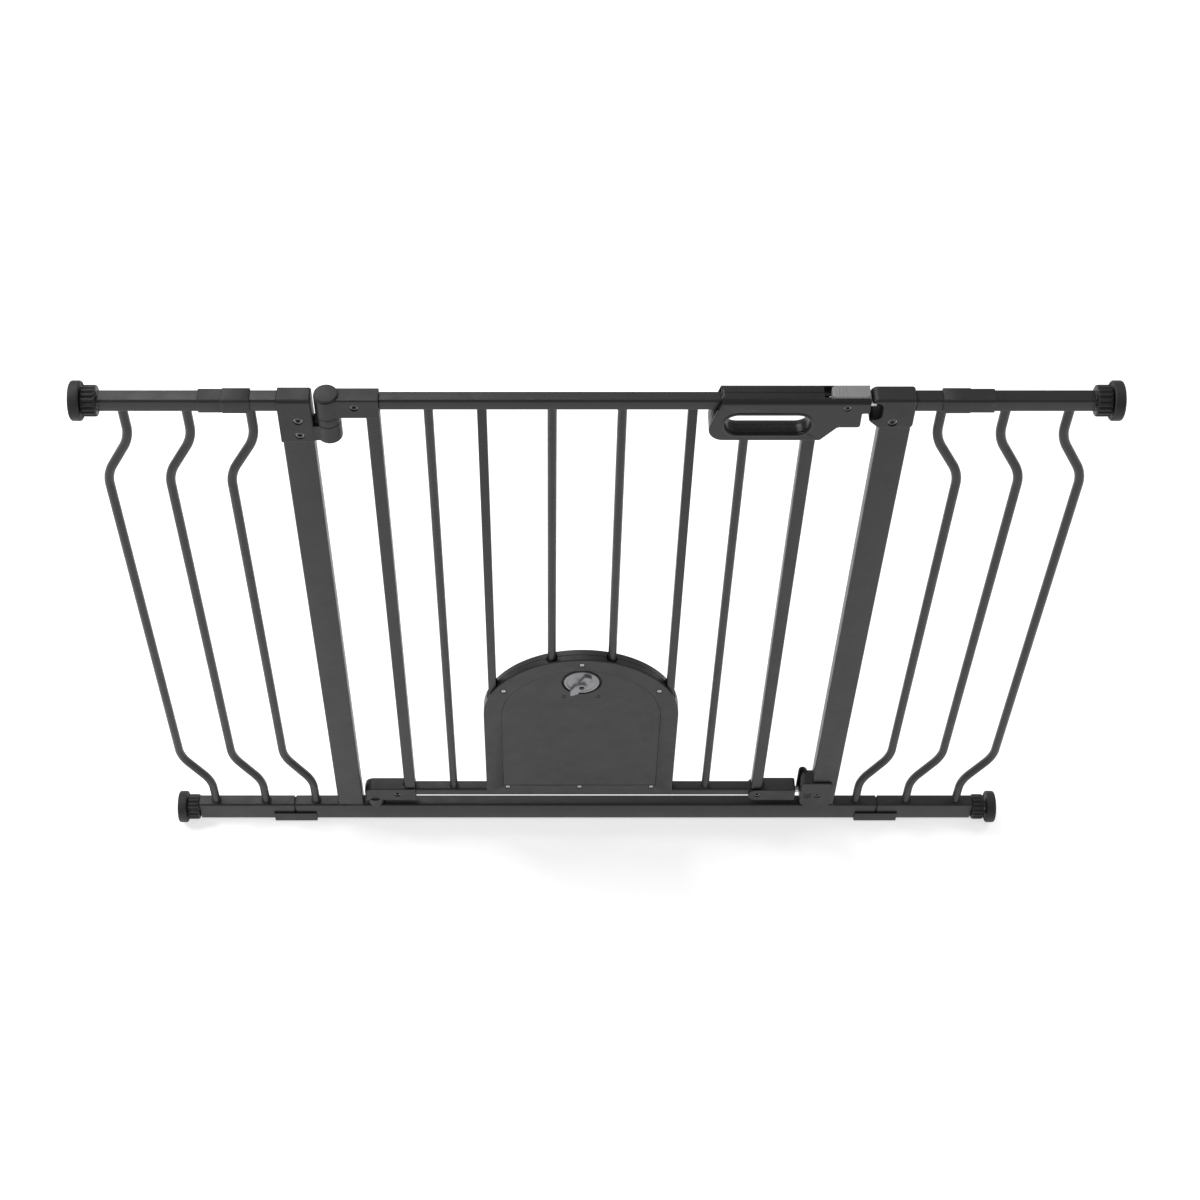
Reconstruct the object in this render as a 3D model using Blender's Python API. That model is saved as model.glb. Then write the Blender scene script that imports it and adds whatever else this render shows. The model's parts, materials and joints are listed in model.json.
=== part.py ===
"""A pressure-mounted pet gate: a U-shaped frame with an extension on each side, a swinging door
with a latch, and a small side-hinged pet flap in the door.

Metres, +Z up. X runs along the gate's width, -Y faces the user. The origin is on the floor, under
the middle of the frame, in the middle of its tubes' depth.
"""

import math

import bmesh
import bpy
from mathutils import Matrix, Vector

MM = 0.001

# Overall sizes
OPENING = 534 * MM  # between the two posts
RAIL_TOP = 745 * MM  # from the underside of the bottom rail to the top of the upper tubes
EXTENSION = 114 * MM  # length of the tubes in each side extension
GAP = 0.3 * MM  # between pieces that touch
SIDES = (("left", -1), ("right", 1))

# Frame
TUBE_DEPTH = 15 * MM
TUBE_WALL = 1.1 * MM
TUBE_ROUND = 2.2 * MM
POST_WIDTH = 30 * MM
RAIL_HEIGHT = 30 * MM
TOP_TUBE = 15 * MM
STUB = 52 * MM  # the upper tube's length beyond each post
JOINT_GAP = 2 * MM  # between a frame tube and its extension
BRACKET_WALL = 2.5 * MM  # in front of and behind a post
SLEEVE_WALL = (1.3 * MM, 0.9 * MM)  # of the upper joint's sleeve, on the frame's and the outer tube
SLEEVE_REACH = (27 * MM, 22 * MM)  # of the sleeve from the joint, inwards and outwards
CLIP_WALL = 1.9 * MM
CLIP_LIP = 14.5 * MM  # height of the lower clip's sides
CLIP_REACH = (25 * MM, 26 * MM)

HALF = TUBE_DEPTH / 2
POST_IN = OPENING / 2
POST_OUT = POST_IN + POST_WIDTH
STUB_END = POST_OUT + STUB
EXTENSION_START = STUB_END + JOINT_GAP
EXTENSION_END = EXTENSION_START + EXTENSION
JOINT = STUB_END + JOINT_GAP / 2
TOP_LOW = RAIL_TOP - TOP_TUBE
POST_TOP = RAIL_TOP - 2 * MM
BRACKET_HALF = HALF + BRACKET_WALL

# Curved bars
BAR_RADIUS = 4.75 * MM
BAR_PITCH = 60 * MM
FIRST_BAR = 27.5 * MM  # from the post's outer face to the first bar
BAR_JOG = 29.5 * MM
BAR_LEAN = math.radians(29)  # of the slanting stretches, from vertical
BAR_BEND = 42 * MM
JOG_HEIGHT = 70 * MM  # from a tube to the middle of a slanting stretch

# Wall mounts
NUT_RADIUS = 15 * MM
NUT_LENGTH = 14 * MM
NUT_FLUTES = 18
FLUTE_DEPTH = 0.9 * MM
NUT_GAP = 0.7 * MM  # between a nut and the tube it bears on
PAD_RADIUS = 19 * MM
PAD_LENGTH = 10.5 * MM
PAD_RIM = 2.5 * MM  # radius of the pad's rounded edges
PAD_FACE = 4 * MM  # thickness of rubber between the spindle's end and the wall
SPINDLE_RADIUS = 4 * MM
SPINDLE_LENGTH = 70 * MM
LOOSE_PAD = 2.5 * MM  # the lower right pad stands this much further out
FLOOR_GAP = PAD_RADIUS - RAIL_HEIGHT / 2  # from the floor, which the lower pads touch, to the rail

# Door
DOOR_TUBE = 13 * MM
DOOR_BAR = 9 * MM
DOOR_LOW = RAIL_HEIGHT + 21 * MM  # underside of the door's bottom rail
DOOR_TOP = RAIL_TOP - 1 * MM
HINGE_X = -POST_IN + 15 * MM
DOOR_LEFT = HINGE_X + 36 * MM
DOOR_RIGHT = POST_IN - 58 * MM
DOOR_BARS = (DOOR_LEFT + 58.5 * MM, DOOR_RIGHT - 67.5 * MM)
DOOR_HALF = DOOR_TUBE / 2

# Hinge, and what stops and holds the door
BARREL_RADIUS = 12 * MM
BOSS_RADIUS = 9 * MM
CAM_RADIUS = BARREL_RADIUS - 0.1 * MM
HINGE_PIN = 4 * MM
PIN_HEAD = (BARREL_RADIUS - 0.7 * MM, 1 * MM)  # radius and rise above the bracket
PIN_PLAY = 0.4 * MM
KNUCKLE = (2 * MM, 24 * MM)  # its ends, above the bracket's underside
HINGE_CAP = (RAIL_TOP - 57 * MM, RAIL_TOP + 2 * MM)
ARM = (RAIL_TOP - 23 * MM, RAIL_TOP + 1 * MM)
ARM_HALF = DOOR_HALF + 2.25 * MM
LOWER_LEFT_HALF = DOOR_HALF + 1.9 * MM
LOWER_RIGHT_HALF = DOOR_HALF + 2.7 * MM
STUD_FLANGE = (9 * MM, 1.2 * MM)
STRIKE = (RAIL_TOP - 36 * MM, RAIL_TOP + 3 * MM)
STRIKE_FACE = POST_IN - 11 * MM
STRIKE_CHAMFER = (9.5 * MM, 3 * MM)  # across its lower corners, left and right
CATCH = (RAIL_HEIGHT + 1 * MM, RAIL_HEIGHT + 51 * MM)
CATCH_FACE = POST_IN - 12 * MM
STOP_RADIUS = 6.5 * MM  # of the half-round groove that the pin closes against
PIN_END = STRIKE_FACE - 1.4 * MM

# Handle and latch
HANDLE_DEPTH = 24.5 * MM
HANDLE_TOP = RAIL_TOP + 4 * MM
HANDLE_LOW = HANDLE_TOP - 54 * MM
HANDLE_END = STRIKE_FACE - 1 * MM
GRIP = (94 * MM, 32 * MM)  # from the handle's right end to the grip's centre; down from its top
GRIP_SIZE = (80 * MM, 25 * MM)
GRIP_RIM = 3.5 * MM
RIM_RISE = 1.6 * MM
BUTTON_SIZE = (36 * MM, 15.6 * MM, 6.6 * MM)
BOLT_RADIUS = 5.5 * MM
BOLT_HEIGHT = RAIL_TOP - 7.5 * MM
BOLT_TIP = STRIKE_FACE + 6 * MM
LATCH_TRAVEL = 6.5 * MM

# Pet flap
FLAP_CENTRE = (DOOR_LEFT + DOOR_RIGHT) / 2 - 4.7 * MM
ARCH_RADIUS = 110 * MM
ARCH_HEIGHT = DOOR_LOW + 169 * MM  # of the arch's centre
BAND = 20 * MM  # width of the surround
SURROUND_DEPTH = DOOR_TUBE + 2 * MM
SURROUND_LOW = DOOR_LOW + 4 * MM
FLAP_GAP = 0.8 * MM
FLAP_THICK = SURROUND_DEPTH / 2 - 1 * MM  # its back stays clear of the middle, where the tongue turns
FLAP_SET_BACK = 0.2 * MM
KNOB_DROP = 42 * MM  # from the arch's top to the knob's centre
KNOB_RADIUS = 19.5 * MM
KNOB_THICK = 3.4 * MM
KNOB_RECESS = (22.5 * MM, 3 * MM)  # radius and depth
KNOB_HEIGHT = ARCH_HEIGHT + ARCH_RADIUS - KNOB_DROP
GRIP_BAR = (5.5 * MM, 5 * MM)  # how far the knob's bar passes the disc, and half its width
SHAFT = 4 * MM
POINTER = math.radians(240)  # which way the knob's bar points
TONGUE = (0.2 * MM, 2.8 * MM)  # its front and back faces
TONGUE_HALF = 5 * MM
TONGUE_NOTCH = 18 * MM  # half the width of the way that it swings through
BAR_SPREAD = 33 * MM  # from the flap's centre to the round bars above it


# ---------------------------------------------------------------- making meshes

def clear_scene():
    for obj in list(bpy.data.objects):
        bpy.data.objects.remove(obj, do_unlink=True)


def material(name, grey, roughness, metallic=0.0):
    made = bpy.data.materials.new(name)
    made.use_nodes = True
    shader = made.node_tree.nodes["Principled BSDF"]
    shader.inputs["Base Color"].default_value = (grey, grey, grey, 1)
    shader.inputs["Roughness"].default_value = roughness
    shader.inputs["Metallic"].default_value = metallic
    return made


def add(name, bm, finish, origin=(0, 0, 0), bevel=0.0, helper=False):
    """Turn a bmesh drawn in world coordinates into an object whose origin is at `origin`.

    Heights are drawn from the underside of the bottom rail; the object is raised by FLOOR_GAP.
    """
    bmesh.ops.translate(bm, verts=bm.verts, vec=-Vector(origin))
    bmesh.ops.recalc_face_normals(bm, faces=bm.faces)
    mesh = bpy.data.meshes.new(name)
    bm.to_mesh(mesh)
    bm.free()
    obj = bpy.data.objects.new(name, mesh)
    bpy.context.collection.objects.link(obj)
    obj.location = Vector(origin) + Vector((0, 0, FLOOR_GAP))
    if finish:
        mesh.materials.append(finish)
    mesh.shade_smooth()
    mesh.set_sharp_from_angle(angle=math.radians(35))
    if bevel:
        edge = obj.modifiers.new("Rounded edges", "BEVEL")
        edge.width = bevel
        edge.segments = 2
        edge.limit_method = "ANGLE"
        edge.angle_limit = math.radians(50)
    if helper:
        obj.hide_render = True
        obj.display_type = "WIRE"
    return obj


def boolean(obj, kind, bm, label, bevel=0.0):
    """Cut (DIFFERENCE), add (UNION) or keep (INTERSECT) a helper shape."""
    helper = add(f"{obj.name}_{label}", bm, None, bevel=bevel, helper=True)
    step = obj.modifiers.new(label, "BOOLEAN")
    step.operation = kind
    step.object = helper
    step.solver = "EXACT"


def cut(obj, bm, label):
    boolean(obj, "DIFFERENCE", bm, label)


def join(obj, bm, label, bevel=0.0):
    boolean(obj, "UNION", bm, label, bevel)


def arc(centre, radius, start, end, steps):
    """Points of an arc, in degrees, both ends included."""
    angles = [math.radians(start + (end - start) * i / steps) for i in range(steps + 1)]
    return [(centre[0] + radius * math.cos(a), centre[1] + radius * math.sin(a)) for a in angles]


def rounded(points, radii, steps=3):
    """A polygon with each corner replaced by an arc. `radii` is one radius or one for each corner."""
    if not isinstance(radii, (list, tuple)):
        radii = [radii] * len(points)
    outline = []
    for i, radius in enumerate(radii):
        corner = Vector(points[i])
        before = (Vector(points[i - 1]) - corner).normalized()
        after = (Vector(points[(i + 1) % len(points)]) - corner).normalized()
        if radius <= 0:
            outline.append(tuple(corner))
            continue
        half = before.angle(after) / 2
        centre = corner + (before + after).normalized() * radius / math.sin(half)
        first = corner + before * radius / math.tan(half) - centre
        last = corner + after * radius / math.tan(half) - centre
        turn = first.angle_signed(last)
        for k in range(steps + 1):
            spoke = first.copy()
            spoke.rotate(Matrix.Rotation(-turn * k / steps, 2))
            outline.append(tuple(centre + spoke))
    return outline


def rectangle(x0, y0, x1, y1, radius=0.0, steps=2):
    corners = [(x0, y0), (x1, y0), (x1, y1), (x0, y1)]
    return rounded(corners, radius, steps) if radius else corners


def place(point, along, axis):
    """A drawn point (u, v) and a distance along `axis`, as X, Y, Z."""
    u, v = point
    return {"X": (along, u, v), "Y": (u, along, v), "Z": (u, v, along)}[axis]


def prism(outline, axis, low, high):
    bm = bmesh.new()
    ends = [[bm.verts.new(place(p, at, axis)) for p in outline] for at in (low, high)]
    for ring in ends:
        bm.faces.new(ring)
    count = len(outline)
    for i in range(count):
        j = (i + 1) % count
        bm.faces.new((ends[0][i], ends[0][j], ends[1][j], ends[1][i]))
    return bm


def hollow(outer, inner, axis, low, high):
    """An open-ended tube between two outlines with the same number of points."""
    bm = bmesh.new()
    rings = []
    for outline in (outer, inner):
        rings.append([[bm.verts.new(place(p, at, axis)) for p in outline] for at in (low, high)])
    count = len(outer)
    for i in range(count):
        j = (i + 1) % count
        for ring in rings:
            bm.faces.new((ring[0][i], ring[0][j], ring[1][j], ring[1][i]))
        for end in (0, 1):
            bm.faces.new((rings[0][end][i], rings[0][end][j], rings[1][end][j], rings[1][end][i]))
    return bm


def block(x0, x1, y0, y1, z0, z1):
    return prism(rectangle(x0, y0, x1, y1), "Z", z0, z1)


def cylinder(centre, radius, axis, low, high, sides=24):
    turn = 360 / sides
    return prism(arc(centre, radius, turn / 2, 360 - turn / 2, sides - 1), axis, low, high)


def turned(profile, centre, axis, sides=24):
    """Turn a profile of (distance along, radius) about an axis through `centre`; its ends are closed."""
    bm = bmesh.new()
    rings = []
    for along, radius in profile:
        ring = arc(centre, radius, 0, 360 - 360 / sides, sides - 1)
        rings.append([bm.verts.new(place(p, along, axis)) for p in ring])
    bm.faces.new(rings[0])
    bm.faces.new(rings[-1])
    for first, second in zip(rings, rings[1:]):
        for i in range(sides):
            j = (i + 1) % sides
            bm.faces.new((first[i], first[j], second[j], second[i]))
    return bm


def round_bar(path, radius, sides=10):
    """Sweep a circle along a path of (x, z) points in the gate's own plane."""
    bm = bmesh.new()
    points = [Vector(p) for p in path]
    rings = []
    for i, point in enumerate(points):
        before = points[max(i - 1, 0)]
        after = points[min(i + 1, len(points) - 1)]
        along = (after - before).normalized()
        side = Vector((along.y, -along.x))
        ring = []
        for k in range(sides):
            angle = 2 * math.pi * k / sides
            across = point + side * radius * math.cos(angle)
            ring.append(bm.verts.new((across.x, radius * math.sin(angle), across.y)))
        rings.append(ring)
    bm.faces.new(rings[0])
    bm.faces.new(rings[-1])
    for first, second in zip(rings, rings[1:]):
        for k in range(sides):
            j = (k + 1) % sides
            bm.faces.new((first[k], first[j], second[j], second[k]))
    return bm


def tube(name, axis, low, high, box, finish, wall=TUBE_WALL):
    """A square-section tube. `box` is (u0, v0, u1, v1), its outer faces across the axis."""
    u0, v0, u1, v1 = box
    outer = rectangle(u0, v0, u1, v1, TUBE_ROUND)
    inner = rectangle(u0 + wall, v0 + wall, u1 - wall, v1 - wall, TUBE_ROUND - wall)
    return add(name, hollow(outer, inner, axis, low, high), finish)


def span(side, near, far):
    """X limits, lowest first, of what lies from `near` to `far` on one side of the gate."""
    return tuple(sorted((side * near, side * far)))


# ---------------------------------------------------------------- frame

def frame(paint):
    tube("bottom_rail", "X", -STUB_END, STUB_END, (-HALF, 0, HALF, RAIL_HEIGHT), paint)
    for label, side in SIDES:
        box = span(side, POST_IN, POST_OUT)
        tube(f"post_{label}", "Z", RAIL_HEIGHT + GAP, POST_TOP,
             (box[0], -HALF, box[1], HALF), paint)
        low, high = span(side, POST_OUT + 1 * MM + GAP, STUB_END)
        tube(f"top_stub_{label}", "X", low, high, (-HALF, TOP_LOW, HALF, RAIL_TOP), paint)
        curved_bar(f"frame_bar_{label}", side, POST_OUT + FIRST_BAR, paint)


def curved_bar(name, side, x, paint):
    """A bar whose middle stretch is set outwards; its ends meet the tubes square on."""
    low = RAIL_HEIGHT + GAP
    high = TOP_LOW - GAP
    rise = BAR_JOG / math.tan(BAR_LEAN) / 2
    half_path = [(0, RAIL_HEIGHT + JOG_HEIGHT - rise), (BAR_JOG, RAIL_HEIGHT + JOG_HEIGHT + rise)]
    corners = [(0, low)] + half_path
    corners += [(out, RAIL_HEIGHT + TOP_LOW - z) for out, z in reversed(half_path)] + [(0, high)]
    outline = rounded(corners, [0] + [BAR_BEND] * 4 + [0], 4)
    path = [(side * (x + out), z) for out, z in outline]
    add(name, round_bar(path, BAR_RADIUS), paint)


def post_pocket(side, low, high):
    """Room for a frame post, with a gap all round."""
    x0, x1 = span(side, POST_IN - GAP, POST_OUT + GAP)
    return block(x0, x1, -HALF - GAP, HALF + GAP, low, high)


def hinge_bracket(plastic, steel):
    """The cap on the left post, with the fixed knuckle of the upper hinge."""
    low, high = HINGE_CAP
    x0, x1 = -POST_OUT - 1 * MM, -POST_IN + 1 * MM
    section = rectangle(-BRACKET_HALF, low, BRACKET_HALF, high, 3.5 * MM, 3)
    cap = add("hinge_bracket", prism(section, "X", x0, x1), plastic)
    knuckle_low, knuckle_high = low + KNUCKLE[0], low + KNUCKLE[1]
    inside, half = x1 - 3 * MM, BRACKET_HALF - 1.5 * MM
    plan = [(inside, -half), (HINGE_X, -half), (HINGE_X, half), (inside, half)]
    join(cap, prism(plan, "Z", knuckle_low + 1 * MM, knuckle_high - 1 * MM), "arm")
    join(cap, cylinder((HINGE_X, 0), BARREL_RADIUS, "Z", knuckle_low, knuckle_high, 28), "knuckle")
    cut(cap, post_pocket(-1, low - 5 * MM, POST_TOP + GAP), "post_pocket")
    cut(cap, cylinder((HINGE_X, 0), HINGE_PIN + PIN_PLAY, "Z", low - 5 * MM, high + 5 * MM), "bore")

    cam = cylinder((HINGE_X, 0), CAM_RADIUS, "Z", knuckle_high + GAP, ARM[0] - GAP)
    cam = add("hinge_cam", cam, plastic)
    cut(cam, cylinder((HINGE_X, 0), HINGE_PIN + PIN_PLAY, "Z", low, high), "bore")

    head, rise = PIN_HEAD
    seat = ARM[1] + GAP
    pin = [(low - 1 * MM, HINGE_PIN), (seat, HINGE_PIN), (seat, head)]
    pin += [(high + rise - 0.4 * MM, head), (high + rise, head - 0.5 * MM)]
    add("upper_hinge_pin", turned(pin, (HINGE_X, 0), "Z"), steel, (HINGE_X, 0, 0))


def strike_bracket(plastic):
    """The cap on the right post. Its pocket holds the latch bolt and is open towards the user."""
    low, high = STRIKE
    x0, x1 = STRIKE_FACE, POST_OUT + 1 * MM
    left, right = STRIKE_CHAMFER
    corners = [(x0, low + left), (x0 + left, low), (x1 - right, low), (x1, low + right), (x1, high),
               (x0, high)]
    front = rounded(corners, [3 * MM, 3 * MM, 2 * MM, 2 * MM, 3 * MM, 6 * MM])
    cap = add("strike_bracket", prism(front, "Y", -BRACKET_HALF, BRACKET_HALF), plastic,
              bevel=1.2 * MM)
    cut(cap, post_pocket(1, low - 5 * MM, POST_TOP + GAP), "post_pocket")
    room = BOLT_RADIUS + 0.8 * MM
    start, depth = x0 - 5 * MM, BOLT_TIP + 2 * MM
    cut(cap, cylinder((0, BOLT_HEIGHT), room, "X", start, depth), "bolt_pocket")
    cut(cap, block(start, depth, -BRACKET_HALF - 5 * MM, 0, BOLT_HEIGHT - room, BOLT_HEIGHT + room),
        "way_out")
    ramp = cylinder((-BRACKET_HALF, BOLT_HEIGHT - 5 * MM), 11 * MM, "X", start, depth + 1 * MM, 28)
    cut(cap, ramp, "ramp")


def bottom_catch(plastic):
    """The block on the right post's foot, with a half-round stop behind the door's pin."""
    low, high = CATCH
    x0, x1 = CATCH_FACE, POST_OUT - 6 * MM
    front = rounded([(x0, low), (x1, low), (x1, high), (x0, high)], [12 * MM, 1 * MM, 5 * MM, 3 * MM])
    body = add("bottom_catch", prism(front, "Y", -BRACKET_HALF, BRACKET_HALF), plastic,
               bevel=1.0 * MM)
    stop = rectangle(x0 - 4 * MM, HINGE_PIN + 1 * MM, x0 + 4 * MM, BRACKET_HALF + 3 * MM, 1.5 * MM)
    join(body, prism(stop, "Z", low + 8 * MM, high + 6 * MM), "stop")
    groove = cylinder((x0 - 2 * MM, 0), STOP_RADIUS, "Z", low + 7 * MM, high + 10 * MM)
    cut(body, groove, "half_round")
    cut(body, post_pocket(1, low - 5 * MM, high + 10 * MM), "post_pocket")


def lower_hinge_stud(steel):
    """The stud on the bottom rail that the door's lower cap turns on."""
    foot = RAIL_HEIGHT + GAP
    flange, rise = STUD_FLANGE
    profile = [(foot, flange), (foot + rise, flange), (foot + rise, HINGE_PIN)]
    profile += [(foot + 24 * MM, HINGE_PIN), (foot + 25.5 * MM, HINGE_PIN - 1.5 * MM)]
    add("lower_hinge_stud", turned(profile, (HINGE_X, 0), "Z"), steel)


# ---------------------------------------------------------------- extensions

def extension(label, side, paint, plastic):
    low, high = span(side, EXTENSION_START, EXTENSION_END)
    tube(f"extension_top_{label}", "X", low, high, (-HALF, TOP_LOW, HALF, RAIL_TOP), paint)
    tube(f"extension_bottom_{label}", "X", low, high, (-HALF, 0, HALF, RAIL_HEIGHT), paint)
    for number, place_name in ((1, "inner"), (2, "outer")):
        x = POST_OUT + FIRST_BAR + number * BAR_PITCH
        curved_bar(f"extension_bar_{place_name}_{label}", side, x, paint)
    top_sleeve(label, side, plastic)
    bottom_clip(label, side, plastic)


def top_sleeve(label, side, plastic):
    """The plastic sleeve over the joint of the upper tubes, stepped at the joint."""

    def around_tube(reach, radius):
        return rectangle(-HALF - reach, TOP_LOW - reach, HALF + reach, RAIL_TOP + reach, radius)

    room = around_tube(GAP, TUBE_ROUND)
    x0, x1 = span(side, JOINT - SLEEVE_REACH[0], JOINT)
    wide = hollow(around_tube(GAP + SLEEVE_WALL[0], 2.5 * MM), room, "X", x0, x1)
    sleeve = add(f"top_sleeve_{label}", wide, plastic)
    x0, x1 = span(side, JOINT - 1 * MM, JOINT + SLEEVE_REACH[1])
    narrow = hollow(around_tube(GAP + SLEEVE_WALL[1], 2.3 * MM),
                    around_tube(GAP - 0.01 * MM, TUBE_ROUND), "X", x0, x1)
    join(sleeve, narrow, "narrow")
    notch = cylinder((side * (POST_OUT + FIRST_BAR), 0), BAR_RADIUS + GAP, "Z",
                     TOP_LOW - 10 * MM, TOP_LOW + 1 * MM)
    cut(sleeve, notch, "bar_notch")


def bottom_clip(label, side, plastic):
    """The cup under the joint of the lower tubes, with a web through the joint and a plug in it."""
    inner = HALF + GAP
    outer, base = inner + CLIP_WALL, -3 * MM
    cup = [(-outer, base), (outer, base), (outer, CLIP_LIP), (inner, CLIP_LIP), (inner, -GAP),
           (-inner, -GAP), (-inner, CLIP_LIP), (-outer, CLIP_LIP)]
    cup = rounded(cup, [2 * MM, 2 * MM, 0.8 * MM, 0.3 * MM, 1 * MM, 1 * MM, 0.3 * MM, 0.8 * MM], 2)
    x0, x1 = span(side, JOINT - CLIP_REACH[0], JOINT + CLIP_REACH[1])
    clip = add(f"bottom_clip_{label}", prism(cup, "X", x0, x1), plastic)
    reach = HALF - TUBE_WALL - GAP
    x0, x1 = span(side, JOINT - 14 * MM, JOINT + 14 * MM)
    plug = rectangle(-reach, TUBE_WALL + GAP, reach, RAIL_HEIGHT - TUBE_WALL - GAP, 1 * MM)
    join(clip, prism(plug, "X", x0, x1), "plug")
    half_gap = JOINT_GAP / 2 - GAP
    x0, x1 = span(side, JOINT - half_gap, JOINT + half_gap)
    web = block(x0, x1, -reach, reach, base + 1 * MM, RAIL_HEIGHT - TUBE_WALL - 1 * MM)
    join(clip, web, "web")


# ---------------------------------------------------------------- wall mounts

def wall_mount(label, side, height, loose, finishes):
    """A fluted nut that turns against the tube's end, and the spindle and pad that it drives."""
    plastic, rubber, steel = finishes
    nut_in = EXTENSION_END + NUT_GAP
    nut_out = nut_in + NUT_LENGTH
    pad_in = nut_out + 0.5 * MM + loose
    pad_out = pad_in + PAD_LENGTH
    at = (0, height)

    outer, inner = [], []
    count = NUT_FLUTES * 4
    for k in range(count):
        angle = 2 * math.pi * k / count
        radius = NUT_RADIUS - (FLUTE_DEPTH if k % 4 in (1, 2) else 0)
        outer.append((radius * math.cos(angle), height + radius * math.sin(angle)))
        bore = SPINDLE_RADIUS + PIN_PLAY
        inner.append((bore * math.cos(angle), height + bore * math.sin(angle)))
    origin = (side * (nut_in + nut_out) / 2, 0, height)
    x0, x1 = span(side, nut_in, nut_out)
    add(f"nut_{label}", hollow(outer, inner, "X", x0, x1), plastic, origin)

    rim = PAD_RIM
    hole = pad_out - PAD_FACE
    profile = [(pad_in, SPINDLE_RADIUS + GAP), (pad_in, PAD_RADIUS - rim)]
    profile += [(pad_in + rim - rim * math.cos(a), PAD_RADIUS - rim + rim * math.sin(a))
                for a in (math.radians(30), math.radians(60), math.radians(90))]
    profile += [(pad_out - rim + rim * math.sin(a), PAD_RADIUS - rim + rim * math.cos(a))
                for a in (0, math.radians(30), math.radians(60), math.radians(90))]
    profile += [(pad_out, 2 * MM)]
    solid = turned([(side * x, r) for x, r in profile], at, "X", 32)
    pad = add(f"pad_{label}", solid, rubber, (side * pad_in, 0, height))
    x0, x1 = span(side, pad_in - 5 * MM, hole)
    cut(pad, cylinder(at, SPINDLE_RADIUS + GAP, "X", x0, x1), "socket")

    x0, x1 = span(side, hole - GAP - SPINDLE_LENGTH, hole - GAP)
    add(f"spindle_{label}", cylinder(at, SPINDLE_RADIUS, "X", x0, x1, 16), steel,
        (side * pad_in, 0, height))


# ---------------------------------------------------------------- door

def door_frame(paint):
    half = DOOR_HALF
    rail_left, rail_right = DOOR_LEFT + DOOR_TUBE + GAP, DOOR_RIGHT - DOOR_TUBE - GAP
    post_top = {"left": DOOR_TOP, "right": HANDLE_LOW + 5 * MM}
    for label, x in (("left", DOOR_LEFT), ("right", DOOR_RIGHT - DOOR_TUBE)):
        tube(f"door_post_{label}", "Z", DOOR_LOW, post_top[label], (x, -half, x + DOOR_TUBE, half),
             paint)
    for label, low, end in (("top", DOOR_TOP - DOOR_TUBE, rail_right + 7 * MM),
                            ("bottom", DOOR_LOW, rail_right)):
        tube(f"door_rail_{label}", "X", rail_left, end, (-half, low, half, low + DOOR_TUBE), paint)

    foot, head = DOOR_LOW + DOOR_TUBE + GAP, DOOR_TOP - DOOR_TUBE - GAP
    arch = math.sqrt((ARCH_RADIUS - BAND / 2) ** 2 - BAR_SPREAD ** 2)
    spans = [(DOOR_BARS[0], foot, head), (FLAP_CENTRE - BAR_SPREAD, ARCH_HEIGHT + arch, head),
             (FLAP_CENTRE + BAR_SPREAD, ARCH_HEIGHT + arch, head),
             (DOOR_BARS[1], foot, HANDLE_LOW + 5 * MM)]
    for number, (x, low, high) in enumerate(spans, 1):
        add(f"door_bar_{number}", cylinder((x, 0), DOOR_BAR / 2, "Z", low, high, 14), paint)
    reach = ARCH_RADIUS - BAND / 2 - 1 * MM
    for label, x in (("left", FLAP_CENTRE - reach), ("right", FLAP_CENTRE + reach)):
        outline = rectangle(x - DOOR_BAR / 2, -DOOR_BAR / 2, x + DOOR_BAR / 2, DOOR_BAR / 2, 1 * MM)
        add(f"flap_upright_{label}", prism(outline, "Z", foot, head), paint)


def door_post_pocket(x, low, high, open_right):
    """Room for a door post, open on the side that the door's rail comes from."""
    half = DOOR_HALF + GAP
    x0, x1 = (x - GAP, x + 40 * MM) if open_right else (x - 40 * MM, x + DOOR_TUBE + GAP)
    return block(x0, x1, -half, half, low, high)


def hinge_cap(name, low, high, half, pocket, corner, plastic):
    """A cap on the door's left post that turns on the hinge axis."""
    right = DOOR_LEFT + DOOR_TUBE
    turn = math.degrees(math.asin(half / BARREL_RADIUS)) if half < BARREL_RADIUS else 90
    plan = [(right, -half)] + [(right, half)]
    plan += arc((HINGE_X, 0), BARREL_RADIUS, turn, 360 - turn, 16)
    cap = add(name, prism(plan, "Z", low, high), plastic, (HINGE_X, 0, 0))
    if corner:
        left = HINGE_X - BARREL_RADIUS
        front = rounded([(left, low), (right + 5 * MM, low), (right + 5 * MM, high), (left, high)],
                        [1 * MM, 0, 0, corner])
        boolean(cap, "INTERSECT", prism(front, "Y", -20 * MM, 20 * MM), "outline")
    cut(cap, door_post_pocket(DOOR_LEFT, *pocket, True), "post_pocket")
    return cap


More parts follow.
